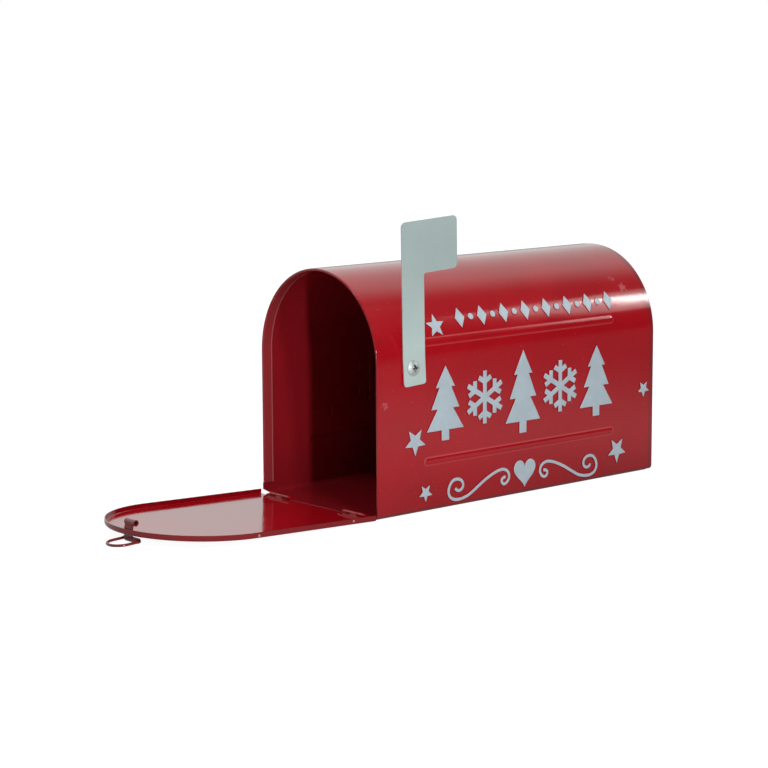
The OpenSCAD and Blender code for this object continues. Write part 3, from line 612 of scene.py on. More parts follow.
def skin(points):
    """Outward direction of the folded sheet at each point, and the distance from its outer face."""
    x, z = points[:, 0], points[:, 2]
    side = np.where(x < 0, -1.0, 1.0)
    direction = np.zeros_like(points)
    away = np.empty(len(points))
    arch = z >= SPRING_Z
    bend = (z < FLOOR_BEND) & (np.abs(x) > ARCH_R - FLOOR_BEND)
    wall = ~arch & ~bend & (np.abs(x) > ARCH_R - WALL_BAND)
    ground = ~(arch | bend | wall)
    for mask, cx, cz, r in ((arch, 0 * x, SPRING_Z, ARCH_R),
                            (bend, side * (ARCH_R - FLOOR_BEND), FLOOR_BEND, FLOOR_BEND)):
        dx, dz = (x - cx)[mask], (z - cz)[mask]
        length = np.maximum(np.hypot(dx, dz), 1e-9)
        direction[mask, 0], direction[mask, 2] = dx / length, dz / length
        away[mask] = length - r
    direction[wall, 0] = side[wall]
    away[wall] = np.abs(x[wall]) - ARCH_R
    direction[ground, 2] = -1
    away[ground] = -z[ground]
    return direction, away


def bead_directions(points):
    """Direction away from the nearest bead's own centre line, and each point's reach from its middle."""
    rib = (BEAD_RISE**2 + BEAD_W**2 / 4) / (2 * BEAD_RISE)
    turned = np.where(points[:, :1] < 0, -1.0, 1.0)
    p = points.copy()
    p[:, :2] *= turned
    best, across = np.zeros_like(points), np.full(len(points), 1.0)
    for angle, base in ((0.0, Vector((ARCH_R, 0, BEAD_Z))), (BEAD_ANGLE, None)):
        out = np.array([math.cos(angle), 0, math.sin(angle)])
        up = np.array([-math.sin(angle), 0, math.cos(angle)])
        foot = np.array(base) if base else np.array([0, 0, SPRING_Z]) + out * ARCH_R
        d = p - foot
        a, u, y = d @ out, d @ up, d[:, 1]
        end = np.clip(y, -(BEAD_HALF - BEAD_W / 2), BEAD_HALF - BEAD_W / 2)
        depth = a - (BEAD_RISE - rib)
        n = depth[:, None] * out + BEAD_SLOPE * u[:, None] * up
        n += BEAD_SLOPE * (y - end)[:, None] * np.array([0, 1.0, 0])
        n /= np.maximum(np.linalg.norm(n, axis=1, keepdims=True), 1e-9)
        reach = np.hypot(u, y - end)
        closer = reach < across
        best[closer], across = n[closer], np.minimum(reach, across)
    best[:, :2] *= turned
    return best, across


def body_normals(mesh):
    """Exact normals on the folded sheet, soft ones where the beads run out, face normals elsewhere."""
    points, normals, _, corner_point, corner_face = mesh_arrays(mesh)
    result = area_normals(mesh, SMOOTH_ANGLE)
    direction, away = skin(points)
    bead, across = bead_directions(points)
    centres = np.zeros_like(normals)
    np.add.at(centres, corner_face, points[corner_point])
    centres /= np.bincount(corner_face, minlength=len(normals))[:, None]
    base, _ = skin(centres)
    facing = np.einsum("ij,ij->i", normals, base)
    low, high = np.full(len(normals), 1e9), np.full(len(normals), -1e9)
    np.minimum.at(low, corner_face, away[corner_point])
    np.maximum.at(high, corner_face, away[corner_point])
    widest = np.zeros(len(normals))
    np.maximum.at(widest, corner_face, across[corner_point])
    flat = (np.abs(facing) > math.cos(SHEET_ANGLE)) & (high - low < SHEET_GAP)
    ribbed = ~flat & (np.abs(facing) > 0.6) & (widest < BEAD_SIDE)
    ribbed |= flat & (widest < BEAD_CROWN)
    flat &= ~ribbed
    sign = np.sign(facing)[corner_face][:, None]
    result = np.where(flat[corner_face][:, None], direction[corner_point] * sign, result)
    share = np.clip(BEAD_FADE - across[corner_point] / (BEAD_W / 2), 0, BEAD_SHARE)[:, None] / BEAD_SHARE
    soft = direction[corner_point] * (1 - share) + bead[corner_point] * share
    soft /= np.linalg.norm(soft, axis=1, keepdims=True)
    return np.where(ribbed[corner_face][:, None], soft * sign, result)


class MAILBOX_OT_body(Operator):
    """Folded body sheet with its hem, beads and pressed lands"""

    bl_idname = "mailbox.body"
    bl_label = "Body sheet"

    def execute(self, context):
        mesh = merged_copy("body_shell")
        set_normals(mesh, body_normals(mesh))
        paint = finish_named("Body_enamel", context)
        add_piece("Body_sheet", mesh, "shell", paint, ("body_shell",))
        return {"FINISHED"}


# The corner plates: their gap to the floor's bend, their lap on the panel and their place within its sheet
CORNER_GAP, CORNER_LAP, CORNER_INSET, CORNER_STEPS = 0.4 * MM, 1.3 * MM, 0.05 * MM, 8


def panel_corner(side):
    """A rounded lower corner of the back panel, just clear of the body's floor bend."""
    x, z, r = ARCH_R - FLOOR_BEND, FLOOR_BEND, FLOOR_BEND - SHEET - CORNER_GAP
    lap, skin_in = CORNER_LAP, CORNER_INSET
    turns = [math.pi / 2 * k / CORNER_STEPS for k in range(CORNER_STEPS + 1)]
    outline = [(x - lap, z + lap), (x - lap, z - r)]
    outline += [(x + r * math.sin(a), z - r * math.cos(a)) for a in turns] + [(x + r, z + lap)]
    n = len(outline)
    front, back = BACK_LOW.y + skin_in, BACK_LOW.y + SHEET - skin_in
    verts = [(side * px, y, pz) for y in (front, back) for px, pz in outline]
    faces = [list(range(n)), list(range(2 * n - 1, n - 1, -1))]
    faces += [[k, n + k, n + (k + 1) % n, (k + 1) % n] for k in range(n)]
    mesh = bpy.data.meshes.new("panel corner")
    mesh.from_pydata(verts, [], faces)
    face_outward(mesh)
    return mesh


class MAILBOX_OT_back(Operator):
    """Flanged back panel inside the rear edge"""

    bl_idname = "mailbox.back"
    bl_label = "Back panel"

    def execute(self, context):
        paint = finish_named("Door_enamel", context)
        corners = (panel_corner(-1), panel_corner(1))
        dress("back_panel", "Back_panel", "shell", paint, 40, extra=corners)
        return {"FINISHED"}


class MAILBOX_OT_door(Operator):
    """Drop-down door with its low flange"""

    bl_idname = "mailbox.door"
    bl_label = "Door"

    def execute(self, context):
        dress("door_pan", "Door_pan", "door", finish_named("Door_enamel", context), 40)
        return {"FINISHED"}


# Repeats made with geometry nodes


class Graph(Nodes):
    """A geometry node tree with named inputs and short calls."""

    def __init__(self, name, **inputs):
        self.tree = bpy.data.node_groups.new(name, "GeometryNodeTree")
        self.tree.interface.new_socket("Geometry", in_out="OUTPUT", socket_type="NodeSocketGeometry")
        self.sockets = {}
        for label, kind in inputs.items():
            made = self.tree.interface.new_socket(label.replace("_", " "), in_out="INPUT", socket_type=kind)
            self.sockets[label] = made.identifier
        self.given = self.node("NodeGroupInput")
        self.out = self.node("NodeGroupOutput")

    def value(self, label):
        return self.given.outputs[label.replace("_", " ")]

    def close(self, geometry):
        """Ends the tree in Realize Instances and Set Material."""
        real = self.node("GeometryNodeRealizeInstances")
        paint = self.node("GeometryNodeSetMaterial")
        self.link(geometry, real.inputs[0])
        self.link(real.outputs[0], paint.inputs["Geometry"])
        self.link(self.value("Material"), paint.inputs["Material"])
        self.link(paint.outputs[0], self.out.inputs[0])

    def grow(self, name, **values):
        """The plain mesh that the tree gives for these values."""
        carrier = bpy.data.objects.new("carrier", bpy.data.meshes.new("carrier"))
        bpy.context.scene.collection.objects.link(carrier)
        modifier = carrier.modifiers.new("nodes", "NODES")
        modifier.node_group = self.tree
        for label, value in values.items():
            modifier[self.sockets[label]] = value
        graph = bpy.context.evaluated_depsgraph_get()
        mesh = bpy.data.meshes.new_from_object(carrier.evaluated_get(graph))
        mesh.name = name
        bpy.data.objects.remove(carrier)
        return mesh


def line_graph():
    """Copies of one shape, set in a straight line."""
    existing = bpy.data.node_groups.get("Shapes in a line")
    if existing:
        bpy.data.node_groups.remove(existing)
    g = Graph("Shapes in a line", Shape="NodeSocketObject", Count="NodeSocketInt", Start="NodeSocketVector",
              Step="NodeSocketVector", Material="NodeSocketMaterial")
    line = g.node("GeometryNodeMeshLine", mode="OFFSET")
    g.link(g.value("Count"), line.inputs["Count"])
    g.link(g.value("Start"), line.inputs["Start Location"])
    g.link(g.value("Step"), line.inputs["Offset"])
    shape = g.node("GeometryNodeObjectInfo")
    shape.inputs["As Instance"].default_value = True
    g.link(g.value("Shape"), shape.inputs["Object"])
    spread = g.node("GeometryNodeInstanceOnPoints")
    g.link(line.outputs[0], spread.inputs["Points"])
    g.link(shape.outputs["Geometry"], spread.inputs["Instance"])
    g.close(spread.outputs[0])
    return g


def in_line(name, mesh, count, start, step, material):
    """One mesh with the shape repeated along a line."""
    shape = bpy.data.objects.new("shape", mesh)
    bpy.context.scene.collection.objects.link(shape)
    made = line_graph().grow(name, Shape=shape, Count=count, Start=start, Step=step, Material=material)
    bpy.data.objects.remove(shape)
    return made


# Raised paint


# How near to a field's top its upper faces lie, how far a row's marks stand round the arch, and the
# height that tells a lozenge from a dot
TOP_FACE, ROW_ANGLE, LOZENGE_H = 0.05 * MM, math.radians(23.5), 8 * MM
# Rings of points inside a field's outline, the width of its side, and how deep its foot goes into the land
RINGS, SIDE_W, FOOT_IN = (0.12 * MM, 0.3 * MM), 0.12 * MM, 0.06 * MM
PAINT_ANGLE = math.radians(50)


def outline_of(faces):
    """The closed outline round a set of triangles, as point numbers in order."""
    after = {}
    edges = {(f[i], f[(i + 1) % len(f)]) for f in faces for i in range(len(f))}
    for a, b in edges:
        if (b, a) not in edges:
            after[a] = b
    loops = []
    while after:
        start, point = next(iter(after.items()))
        loop = [start]
        del after[start]
        while point != start and point in after:
            loop.append(point)
            point = after.pop(point)
        if point == start and len(loop) > 2:
            loops.append(loop)
    return max(loops, key=len)


def paint_outlines(node):
    """The outline of each paint field of a wall, unrolled: length along the body, height round the arch."""
    bm = bmesh.new()
    bm.from_mesh(frame["nodes"][node].data)
    bmesh.ops.remove_doubles(bm, verts=bm.verts, dist=1e-6)
    bm.verts.ensure_lookup_table()
    points = np.array([v.co for v in bm.verts])
    turned = -1.0 if points[:, 0].mean() < 0 else 1.0
    points[:, :2] *= turned
    over_arch = np.hypot(points[:, 0], points[:, 2] - SPRING_Z)
    away = np.where(points[:, 2] > SPRING_Z, over_arch, points[:, 0]) - ARCH_R
    seen, found = set(), []
    for seed in bm.verts:
        if seed.index in seen:
            continue
        island, queue = [], [seed]
        seen.add(seed.index)
        while queue:
            v = queue.pop()
            island.append(v)
            for e in v.link_edges:
                w = e.other_vert(v)
                if w.index not in seen:
                    seen.add(w.index)
                    queue.append(w)
        top = max(away[v.index] for v in island)
        faces = {f for v in island for f in v.link_faces}
        upper = [[v.index for v in f.verts] for f in faces
                 if all(away[v.index] > top - TOP_FACE for v in f.verts)]
        loop = outline_of(upper)
        p = points[loop]
        round_arch = np.arctan2(p[:, 2] - SPRING_Z, p[:, 0])
        height = np.where(p[:, 2] > SPRING_Z, SPRING_Z + ARCH_R * round_arch, p[:, 2])
        found.append(np.stack([p[:, 1], height], 1))
    bm.free()
    return found, turned


def on_wall(flat, lift, turned):
    """Unrolled points put on the wall or the arch at a height over the sheet."""
    angle = np.maximum(flat[:, 1] - SPRING_Z, 0) / ARCH_R
    r = ARCH_R + lift
    x = r * np.cos(angle)
    z = np.where(flat[:, 1] > SPRING_Z, SPRING_Z + r * np.sin(angle), flat[:, 1])
    return np.stack([x * turned, flat[:, 0] * turned, z], 1)


def edge_distance(points, loop):
    """Distance of each point from the outline."""
    a, b = loop, np.roll(loop, -1, axis=0)
    ab = b - a
    ap = points[:, None, :] - a[None]
    t = np.clip((ap * ab).sum(2) / np.maximum((ab * ab).sum(1), 1e-18), 0, 1)
    return np.sqrt((((ap - ab * t[..., None]) ** 2).sum(2)).min(1))


def inside(points, loop):
    a, b = loop, np.roll(loop, -1, axis=0)
    x, y = points[:, :1], points[:, 1:]
    crossing = (a[:, 1] > y) != (b[:, 1] > y)
    dy = np.where(b[:, 1] == a[:, 1], 1e-18, b[:, 1] - a[:, 1])
    return (crossing & (x < a[:, 0] + (y - a[:, 1]) * (b[:, 0] - a[:, 0]) / dy)).sum(1) % 2 == 1


def paint_field(loop, turned, sizes, verts, faces):
    """Adds one domed paint field with a short side all round."""
    area = 0.5 * np.sum(loop[:, 0] * np.roll(loop[:, 1], -1) - np.roll(loop[:, 0], -1) * loop[:, 1])
    if area < 0:
        loop = loop[::-1]
    low, high = loop.min(0), loop.max(0)
    step = sizes.step
    gx, gy = np.meshgrid(*(np.arange(low[k] + step / 2, high[k], step) for k in (0, 1)))
    grid = np.stack([gx.ravel(), gy.ravel()], 1)
    if len(grid):
        grid = grid[inside(grid, loop)]
    if len(grid):
        grid = grid[edge_distance(grid, loop) > 0.35 * step]
    ring = []
    for inset in RINGS:
        before, after = np.roll(loop, 1, axis=0), np.roll(loop, -1, axis=0)
        d = after - before
        n = np.stack([-d[:, 1], d[:, 0]], 1) / np.maximum(np.linalg.norm(d, axis=1, keepdims=True), 1e-12)
        moved = loop + n * inset
        keep = inside(moved, loop)
        keep[keep] = edge_distance(moved[keep], loop) > 0.8 * inset
        ring.append(moved[keep])
    flat = np.concatenate([loop, *ring, grid])
    ids = list(range(len(loop)))
    made, _, cells, *_ = delaunay_2d_cdt([Vector(p * 1000) for p in flat], [], [ids], 1, 1e-5)
    flat = np.array([[v.x, v.y] for v in made]) / 1000
    depth = edge_distance(flat, loop)
    crown = 1 - np.exp(-depth / (sizes.soft / 2))
    lift = LAND + sizes.lip * np.clip(depth / SIDE_W, 0.35, 1) + sizes.belly * crown
    start = len(verts)
    verts.extend(map(tuple, on_wall(flat, lift, turned)))
    faces.extend([start + i for i in cell] for cell in cells)
    rim = [i for i in range(len(flat)) if depth[i] < 1e-6]
    edges = {(c[i], c[(i + 1) % 3]) for c in cells for i in range(3)}
    foot = {}
    for i in rim:
        foot[i] = len(verts)
        verts.append(tuple(on_wall(flat[i:i + 1], np.array([LAND - FOOT_IN]), turned)[0]))
    for a, b in edges:
        if (b, a) not in edges and a in foot and b in foot:
            faces.append([start + b, start + a, foot[a], foot[b]])


def paint_mesh(name, loops, turned, sizes):
    verts, faces = [], []
    for loop in loops:
        paint_field(loop, turned, sizes, verts, faces)
    mesh = bpy.data.meshes.new(name)
    mesh.from_pydata(verts, [], faces)
    mesh.update()
    set_normals(mesh, area_normals(mesh, PAINT_ANGLE))
    return mesh


def is_row(loop):
    """True for the lozenges and dots in the row over the upper bead."""
    middle = (loop.min(0) + loop.max(0)) / 2
    return middle[1] - SPRING_Z > ARCH_R * ROW_ANGLE


def paint_side(context, node, name):
    """All paint fields of one wall; the row above the upper bead is one lozenge and one dot, repeated."""
    sizes = context.scene.mailbox_ornaments
    paint = finish_named("Ornament_paint", context)
    loops, turned = paint_outlines(node)
    single = [loop for loop in loops if not is_row(loop)]
    add_piece(name, paint_mesh(name, single, turned, sizes), "shell", paint, (node,))
    row = sorted((loop for loop in loops if is_row(loop)), key=lambda loop: loop[:, 0].mean())
    for kind, tall in (("lozenges", True), ("dots", False)):
        same = [loop for loop in row if (np.ptp(loop[:, 1]) > LOZENGE_H) == tall]
        centres = [(loop[:, 0].min() + loop[:, 0].max()) / 2 for loop in same]
        pitch = (centres[-1] - centres[0]) / (len(same) - 1)
        first = same[0] - np.array([centres[0], 0])
        shape = paint_mesh(kind, [first], turned, sizes)
        start, pace = (0, centres[0] * turned, 0), (0, pitch * turned, 0)
        made = in_line(f"{name}_{kind}", shape, len(same), start, pace, paint)
        set_normals(made, area_normals(made, PAINT_ANGLE))
        add_piece(f"{name}_{kind}", made, "shell", paint)


class MAILBOX_OT_ornaments(Operator):
    """Domed paint on the raised ornaments of both walls"""

    bl_idname = "mailbox.ornaments"
    bl_label = "Ornament paint"

    def execute(self, context):
        paint_side(context, "paint_right", "Ornaments_right")
        paint_side(context, "paint_left", "Ornaments_left")
        return {"FINISHED"}


# Hinges

# How far in from a leaf's end its welds stand, and the door leaf's face seen from the pin
WELD_IN, DOOR_LEAF_FACE = 2.2 * MM, -0.95 * MM


def door_tilt():
    """How far the open door leans from level, from the joint's range."""
    hinge = next(j for j in frame["record"]["behaviour"]["joints"] if j["name"] == "door_hinge")
    return math.radians(90 - hinge["range_deg"][1])


def weld_mark(radius, rise):
    """A shallow dent with a raised rim, lying on its carrier."""
    profile = [(0.0, 0.2), (0.45, 0.15), (0.7, 0.35), (0.85, 1.0), (0.95, 0.7), (1.0, -0.6)]
    bm = bmesh.new()
    points = [bm.verts.new((share * radius, 0, h * rise)) for share, h in profile]
    edges = [bm.edges.new(pair) for pair in zip(points, points[1:])]
    bmesh.ops.spin(bm, geom=points + edges, cent=(0, 0, 0), axis=(0, 0, 1), angle=math.tau, steps=24,
                   use_merge=True)
    bmesh.ops.remove_doubles(bm, verts=bm.verts, dist=1e-7)
    bmesh.ops.recalc_face_normals(bm, faces=bm.faces)
    if sum(f.normal.z for f in bm.faces) < 0:
        bmesh.ops.reverse_faces(bm, faces=bm.faces)
    mesh = bpy.data.meshes.new("weld mark")
    bm.to_mesh(mesh)
    bm.free()
    return mesh


class MAILBOX_OT_hinges(Operator):
    """Hinge leaves, pins and the weld marks that hold the leaves"""

    bl_idname = "mailbox.hinges"
    bl_label = "Hinges"

    def execute(self, context):
        sizes = context.scene.mailbox_fittings
        paint, pin = finish_named("Small_enamel", context), finish_named("Pin_steel", context)
        for side in ("left", "right"):
            dress(f"floor_leaf_{side}", f"Floor_leaf_{side}", "shell", paint, 40)
            dress(f"door_leaf_{side}", f"Door_leaf_{side}", "door", paint, 40)
            dress(f"hinge_pin_{side}", f"Hinge_pin_{side}", "shell", pin, 40)
        length = LEAF_HIGH.x - LEAF_LOW.x
        step = length / sizes.welds
        floor_y = LEAF_HIGH.y - WELD_IN
        lean = Matrix.Translation((0, PIN_Y, PIN_Z)) @ Matrix.Rotation(-door_tilt(), 4, "X")
        rows = (("Floor_welds", "shell", floor_y, SHEET + LEAF_T, Matrix.Identity(4)),
                ("Door_welds", "door", PIN_Y - floor_y, DOOR_LEAF_FACE, lean))
        for side, middle in (("left", -1), ("right", 1)):
            first = middle * (LEAF_HIGH.x + LEAF_LOW.x) / 2 - step * (sizes.welds - 1) / 2
            for label, body, y, z, place in rows:
                name = f"{label}_{side}"
                mark = weld_mark(sizes.weld_radius, sizes.weld_rise)
                made = in_line(name, mark, sizes.welds, (first, y, z), (step, 0, 0), paint)
                made.transform(place)
                made.shade_smooth()
                add_piece(name, made, body, paint)
        return {"FINISHED"}


class MAILBOX_OT_latch(Operator):
    """Bent latch strip with its roll and eye, and the ring pull"""

    bl_idname = "mailbox.latch"
    bl_label = "Latch and ring"

    def execute(self, context):
        paint = finish_named("Latch_enamel", context)
        dress("latch_strip", "Latch_strip", "door", paint, 40)
        dress("ring_pull", "Ring_pull", "ring", paint, 60)
        return {"FINISHED"}


FLAG_ROUND = 0.14 * MM


class MAILBOX_OT_flag(Operator):
    """Signal flag, one stamping with rounded edges"""

    bl_idname = "mailbox.flag"
    bl_label = "Flag"

    def execute(self, context):
        paint = finish_named("Flag_enamel", context)
        dress("flag", "Flag", "signal_flag", paint, 50, FLAG_ROUND)
        return {"FINISHED"}


def thread_graph():
    """A ridge that winds round a shank."""
    g = Graph("Screw thread", Radius="NodeSocketFloat", Length="NodeSocketFloat", Turns="NodeSocketFloat",
              Depth="NodeSocketFloat", Material="NodeSocketMaterial")
    spiral = g.node("GeometryNodeCurveSpiral")
    spiral.inputs["Resolution"].default_value = 40
    for label, socket in (("Turns", "Rotations"), ("Radius", "Start Radius"), ("Radius", "End Radius"),
                          ("Length", "Height")):
        g.link(g.value(label), spiral.inputs[socket])
    ridge = g.node("GeometryNodeCurvePrimitiveCircle", mode="RADIUS")
    ridge.inputs["Resolution"].default_value = 4
    g.link(g.value("Depth"), ridge.inputs["Radius"])
    sweep = g.node("GeometryNodeCurveToMesh")
    sweep.inputs["Fill Caps"].default_value = True
    g.link(spiral.outputs[0], sweep.inputs["Curve"])
    g.link(ridge.outputs[0], sweep.inputs["Profile Curve"])
    g.close(sweep.outputs[0])
    return g


class MAILBOX_OT_fixing(Operator):
    """Pivot screw of the flag with its washers, nut and thread"""

    bl_idname = "mailbox.fixing"
    bl_label = "Flag fixing"

    def execute(self, context):
        sizes = context.scene.mailbox_fittings
        steel = finish_named("Zinc_plate", context)
        dress("flag_screw", "Flag_screw", "shell", finish_named("Screw_zinc", context), 30)
        for node in ("flag_washer", "lock_washer", "flag_nut"):
            dress(node, node.capitalize(), "shell", steel, 30)
        length = NUT_LOW.x - SCREW_LOW.x
        turns = length / sizes.thread_pitch
        made = thread_graph().grow("Screw_thread", Radius=SHANK_R, Length=length, Turns=turns,
                                   Depth=sizes.thread_depth, Material=steel)
        middle = (SCREW_LOW + SCREW_HIGH) / 2
        end = Matrix.Translation((SCREW_LOW.x, middle.y, middle.z))
        made.transform(end @ Matrix.Rotation(math.pi / 2, 4, "Y"))
        face_outward(made)
        add_piece("Screw_thread", made, "shell", steel)
        return {"FINISHED"}


# Stage

# Camera measured from the photograph: place in metres, its axes, and the lens in millimetres
CAMERA_AT = (1.1582624316, -1.0862622620, 0.3149617771)
CAMERA_AXES = ((0.6588896, 0.7522276, -0.0042479), (-0.1121584, 0.1038223, 0.9882517),
               (0.7438313, -0.6506724, 0.1527760))
CAMERA_LENS, CAMERA_SENSOR = 107.34634, 36
# Where the soft light comes from, and the level direction from the backdrop to the open side
FROM_ABOVE, FROM_LEFT, OPEN_SIDE = (0.3, 0.0, 0.954), (-0.93, 0.25, 0.27), (0.92, -0.39, 0.0)
# Falloffs by the share of a direction: where each starts and ends, and its strength there
ABOVE, LEFT, BACKDROP = (0.25, 0.95, 0.07, 1.7), (0.35, 0.95, 0, 2.5), (-0.42, 0.0, 1, 0)
BACKDROP_RISE, ROOM_RISE = (-0.04, 0.25, 0.3, 1.26), (0.0, 0.9, 0.05, 0.24)
# Falloffs of the floor that gloss sees, by the distance from the object's centre in metres
FLOOR_NEAR, FLOOR_FAR = (0.1, 0.3, 0.5, 0.95), (0.3, 0.75, 0.42, 0.04)
FLOOR_Z, FLOOR_SEEN = -0.05 * MM, 0.94
FLOOR_PLAIN, FLOOR_GLOSS = (0.6, 0.6, 0.6, 1), (0.25, 0.25, 0.25, 1)
BACKDROP_TINT, WHITE = (0.8, 1, 0.98, 1), (1, 1, 1, 1)
# Where the arch mirrors the rear lamp, and what the lamps look at
GLOW = (0.529, 0.742, 0.413)
MOUTH, SILL = (0.02, -0.06, 0.07), (0, -0.14, 0)
REAR_ARCH, MID_ARCH = (0.055, 0.129, 0.124), (0.055, 0.08, 0.124)


def seen_plainly(tree):
    """1 for the rays that should see a white surround: the camera's, and those of gloss and glass."""
    path = tree.nodes.new("ShaderNodeLightPath")
    total = path.outputs["Is Camera Ray"]
    for label in ("Is Glossy Ray", "Is Transmission Ray"):
        total = joined(tree, "ADD", total, path.outputs[label], clamp=True)
    return total


def camera_ray(tree):
    return tree.nodes.new("ShaderNodeLightPath").outputs["Is Camera Ray"]


def floor_material():
    """A white floor that keeps a soft shadow; gloss sees its lit part, which ends not far from the object."""
    material = bpy.data.materials.new("Stage_floor")
    material.use_nodes = True
    tree = material.node_tree
    tree.nodes.clear()
    new, link = tree.nodes.new, tree.links.new
    out, mix, add = new("ShaderNodeOutputMaterial"), new("ShaderNodeMixShader"), new("ShaderNodeAddShader")
    plain, seen, glow = new("ShaderNodeBsdfDiffuse"), new("ShaderNodeBsdfDiffuse"), new("ShaderNodeEmission")
    plain.inputs["Color"].default_value = FLOOR_PLAIN
    seen.inputs["Color"].default_value = FLOOR_GLOSS
    place = new("ShaderNodeTexCoord")
    length = new("ShaderNodeVectorMath")
    length.operation = "LENGTH"
    link(place.outputs["Object"], length.inputs[0])
    near, far = (falloff(tree, length.outputs["Value"], *window) for window in (FLOOR_NEAR, FLOOR_FAR))
    lit = joined(tree, "MULTIPLY", near, far)
    shown = joined(tree, "MULTIPLY", camera_ray(tree), FLOOR_SEEN)
    link(joined(tree, "MAXIMUM", lit, shown), glow.inputs["Strength"])
    link(seen_plainly(tree), mix.inputs[0])
    link(plain.outputs[0], mix.inputs[1])
    link(seen.outputs[0], add.inputs[0])
    link(glow.outputs[0], add.inputs[1])
    link(add.outputs[0], mix.inputs[2])
    link(mix.outputs[0], out.inputs[0])
    return material


def surround(scene, strength):
    """White where it is seen; gloss sees a pale backdrop behind the object and a dim room by the camera."""
    world = bpy.data.worlds.new("Surround")
    scene.world = world
    world.use_nodes = True
    tree = world.node_tree
    tree.nodes.clear()
    new, link = tree.nodes.new, tree.links.new
    out, mix = new("ShaderNodeOutputWorld"), new("ShaderNodeMixShader")
    soft, white = new("ShaderNodeBackground"), new("ShaderNodeBackground")
    for ground in (soft, white):
        ground.inputs["Color"].default_value = WHITE
    way = new("ShaderNodeTexCoord").outputs["Generated"]

    def along(direction):
        turn = new("ShaderNodeVectorMath")
        turn.operation = "DOT_PRODUCT"
        link(way, turn.inputs[0])
        turn.inputs[1].default_value = direction
        return turn.outputs["Value"]

    above, left = falloff(tree, along(FROM_ABOVE), *ABOVE), falloff(tree, along(FROM_LEFT), *LEFT)
    both = joined(tree, "ADD", above, left)
    link(joined(tree, "MULTIPLY", both, strength), soft.inputs["Strength"])
    parts = new("ShaderNodeSeparateXYZ")
    link(way, parts.inputs[0])
    backdrop = falloff(tree, along(OPEN_SIDE), *BACKDROP)
    height, room = (falloff(tree, parts.outputs["Z"], *window) for window in (BACKDROP_RISE, ROOM_RISE))
    beside = joined(tree, "MULTIPLY", joined(tree, "SUBTRACT", 1.0, backdrop), room)
    lit = joined(tree, "ADD", joined(tree, "MULTIPLY", backdrop, height), beside)
    link(joined(tree, "MAXIMUM", lit, camera_ray(tree)), white.inputs["Strength"])
    tint = new("ShaderNodeMix")
    tint.data_type = "RGBA"
    link(camera_ray(tree), tint.inputs[0])
    tint.inputs[6].default_value, tint.inputs[7].default_value = BACKDROP_TINT, WHITE
    link(tint.outputs[2], white.inputs["Color"])
    link(seen_plainly(tree), mix.inputs[0])
    link(soft.outputs[0], mix.inputs[1])
    link(white.outputs[0], mix.inputs[2])
    link(mix.outputs[0], out.inputs[0])


def lamp(name, direction, distance, aim, power, width, height):
    """An area lamp, so far off in a direction from the point that it looks at, in metres."""
    light = bpy.data.lights.new(name, "AREA")
    light.shape, light.size, light.size_y = "RECTANGLE", width, height
    light.energy = power
    thing = bpy.data.objects.new(name, light)
    bpy.context.scene.collection.objects.link(thing)
    out = Vector(direction).normalized()
    thing.location = Vector(aim) + out * distance
    thing.rotation_euler = (-out).to_track_quat("-Z", "Y").to_euler()
    thing.visible_camera = False
    return thing


def toward(azimuth, elevation):
    """A direction from its angle round +X towards +Y and its height above level, in degrees."""
    a, e = math.radians(azimuth), math.radians(elevation)
    return (math.cos(a) * math.cos(e), math.sin(a) * math.cos(e), math.sin(e))


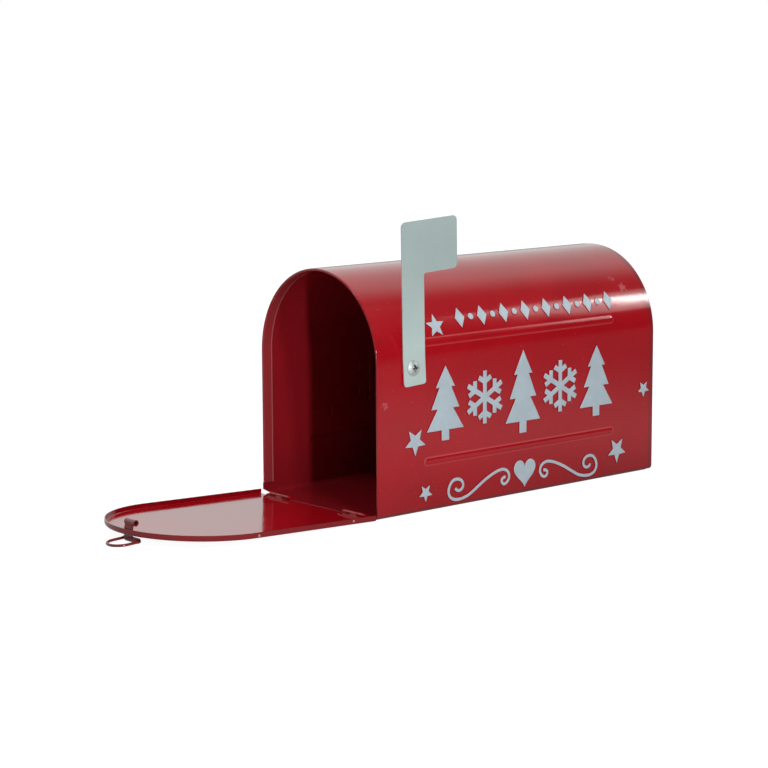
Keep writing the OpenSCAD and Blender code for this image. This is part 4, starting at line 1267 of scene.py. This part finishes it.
class MAILBOX_OT_stage(Operator):
    """Camera, floor, surround and lamps"""

    bl_idname = "mailbox.stage"
    bl_label = "Stage"

    def execute(self, context):
        scene, sizes = context.scene, context.scene.mailbox_stage
        scene.view_settings.view_transform = "Standard"
        data = bpy.data.cameras.new("Camera")
        data.lens, data.sensor_width = CAMERA_LENS, CAMERA_SENSOR
        data.clip_start, data.clip_end = 0.01, 100
        camera = bpy.data.objects.new("Camera", data)
        scene.collection.objects.link(camera)
        axes = Matrix([list(row) for row in zip(*CAMERA_AXES)])
        camera.matrix_world = Matrix.Translation(CAMERA_AT) @ axes.to_4x4()
        scene.camera = camera
        half = sizes.floor_size / 2
        ground = bpy.data.meshes.new("Floor")
        corners = [(x * half, y * half, FLOOR_Z) for x, y in ((-1, -1), (1, -1), (1, 1), (-1, 1))]
        ground.from_pydata(corners, [], [(0, 1, 2, 3)])
        ground.materials.append(floor_material())
        floor = bpy.data.objects.new("Floor", ground)
        scene.collection.objects.link(floor)
        surround(scene, sizes.sky)
        keys = (lamp("Low_key", toward(-22.3, 9), 1.1, MOUTH, sizes.low_key, 0.05, 0.05),
                lamp("High_key", toward(-16, 40), 2.0, MOUTH, sizes.high_key, 0.14, 0.14))
        rear = lamp("Rear_lamp", GLOW, 1.5, REAR_ARCH, sizes.rim, 0.07, 0.3)
        haze = lamp("Rear_haze", GLOW, 1.5, MID_ARCH, 0.6 * sizes.rim, 0.3, 0.44)
        lamp("Front_lamp", toward(-85, 62), 1.6, SILL, sizes.front, 0.35, 0.35)
        rear.visible_diffuse = haze.visible_diffuse = False
        past = bpy.data.collections.new("Lets key light past")
        past.objects.link(bpy.data.objects["Flag"])
        past.collection_objects[0].light_linking.link_state = "EXCLUDE"
        for key in keys:
            key.light_linking.blocker_collection = past
        return {"FINISHED"}


class MAILBOX_PT_panel(Panel):
    """Lists the mailbox's pieces and settings"""

    bl_idname = "MAILBOX_PT_panel"
    bl_label = "Metal Mailbox"
    bl_space_type = "VIEW_3D"
    bl_region_type = "UI"
    bl_category = "Mailbox"

    def draw(self, context):
        for cls in OPERATORS:
            self.layout.operator(cls.bl_idname)
        for group in SETTINGS:
            box = self.layout.box()
            settings = getattr(context.scene, group)
            for key in settings.__annotations__:
                box.prop(settings, key)


OPERATORS = (MAILBOX_OT_body, MAILBOX_OT_back, MAILBOX_OT_door, MAILBOX_OT_hinges,
             MAILBOX_OT_latch, MAILBOX_OT_flag, MAILBOX_OT_fixing, MAILBOX_OT_ornaments, MAILBOX_OT_stage)
CLASSES = (*SETTINGS.values(), *OPERATORS, MAILBOX_PT_panel)


def register():
    for cls in CLASSES:
        bpy.utils.register_class(cls)
    for name, group in SETTINGS.items():
        setattr(bpy.types.Scene, name, PointerProperty(type=group))


def unregister():
    for name in SETTINGS:
        delattr(bpy.types.Scene, name)
    for cls in reversed(CLASSES):
        bpy.utils.unregister_class(cls)


def main():
    register()
    for cls in OPERATORS:
        group, action = cls.bl_idname.split(".")
        getattr(getattr(bpy.ops, group), action)()


if __name__ == "__main__":
    main()
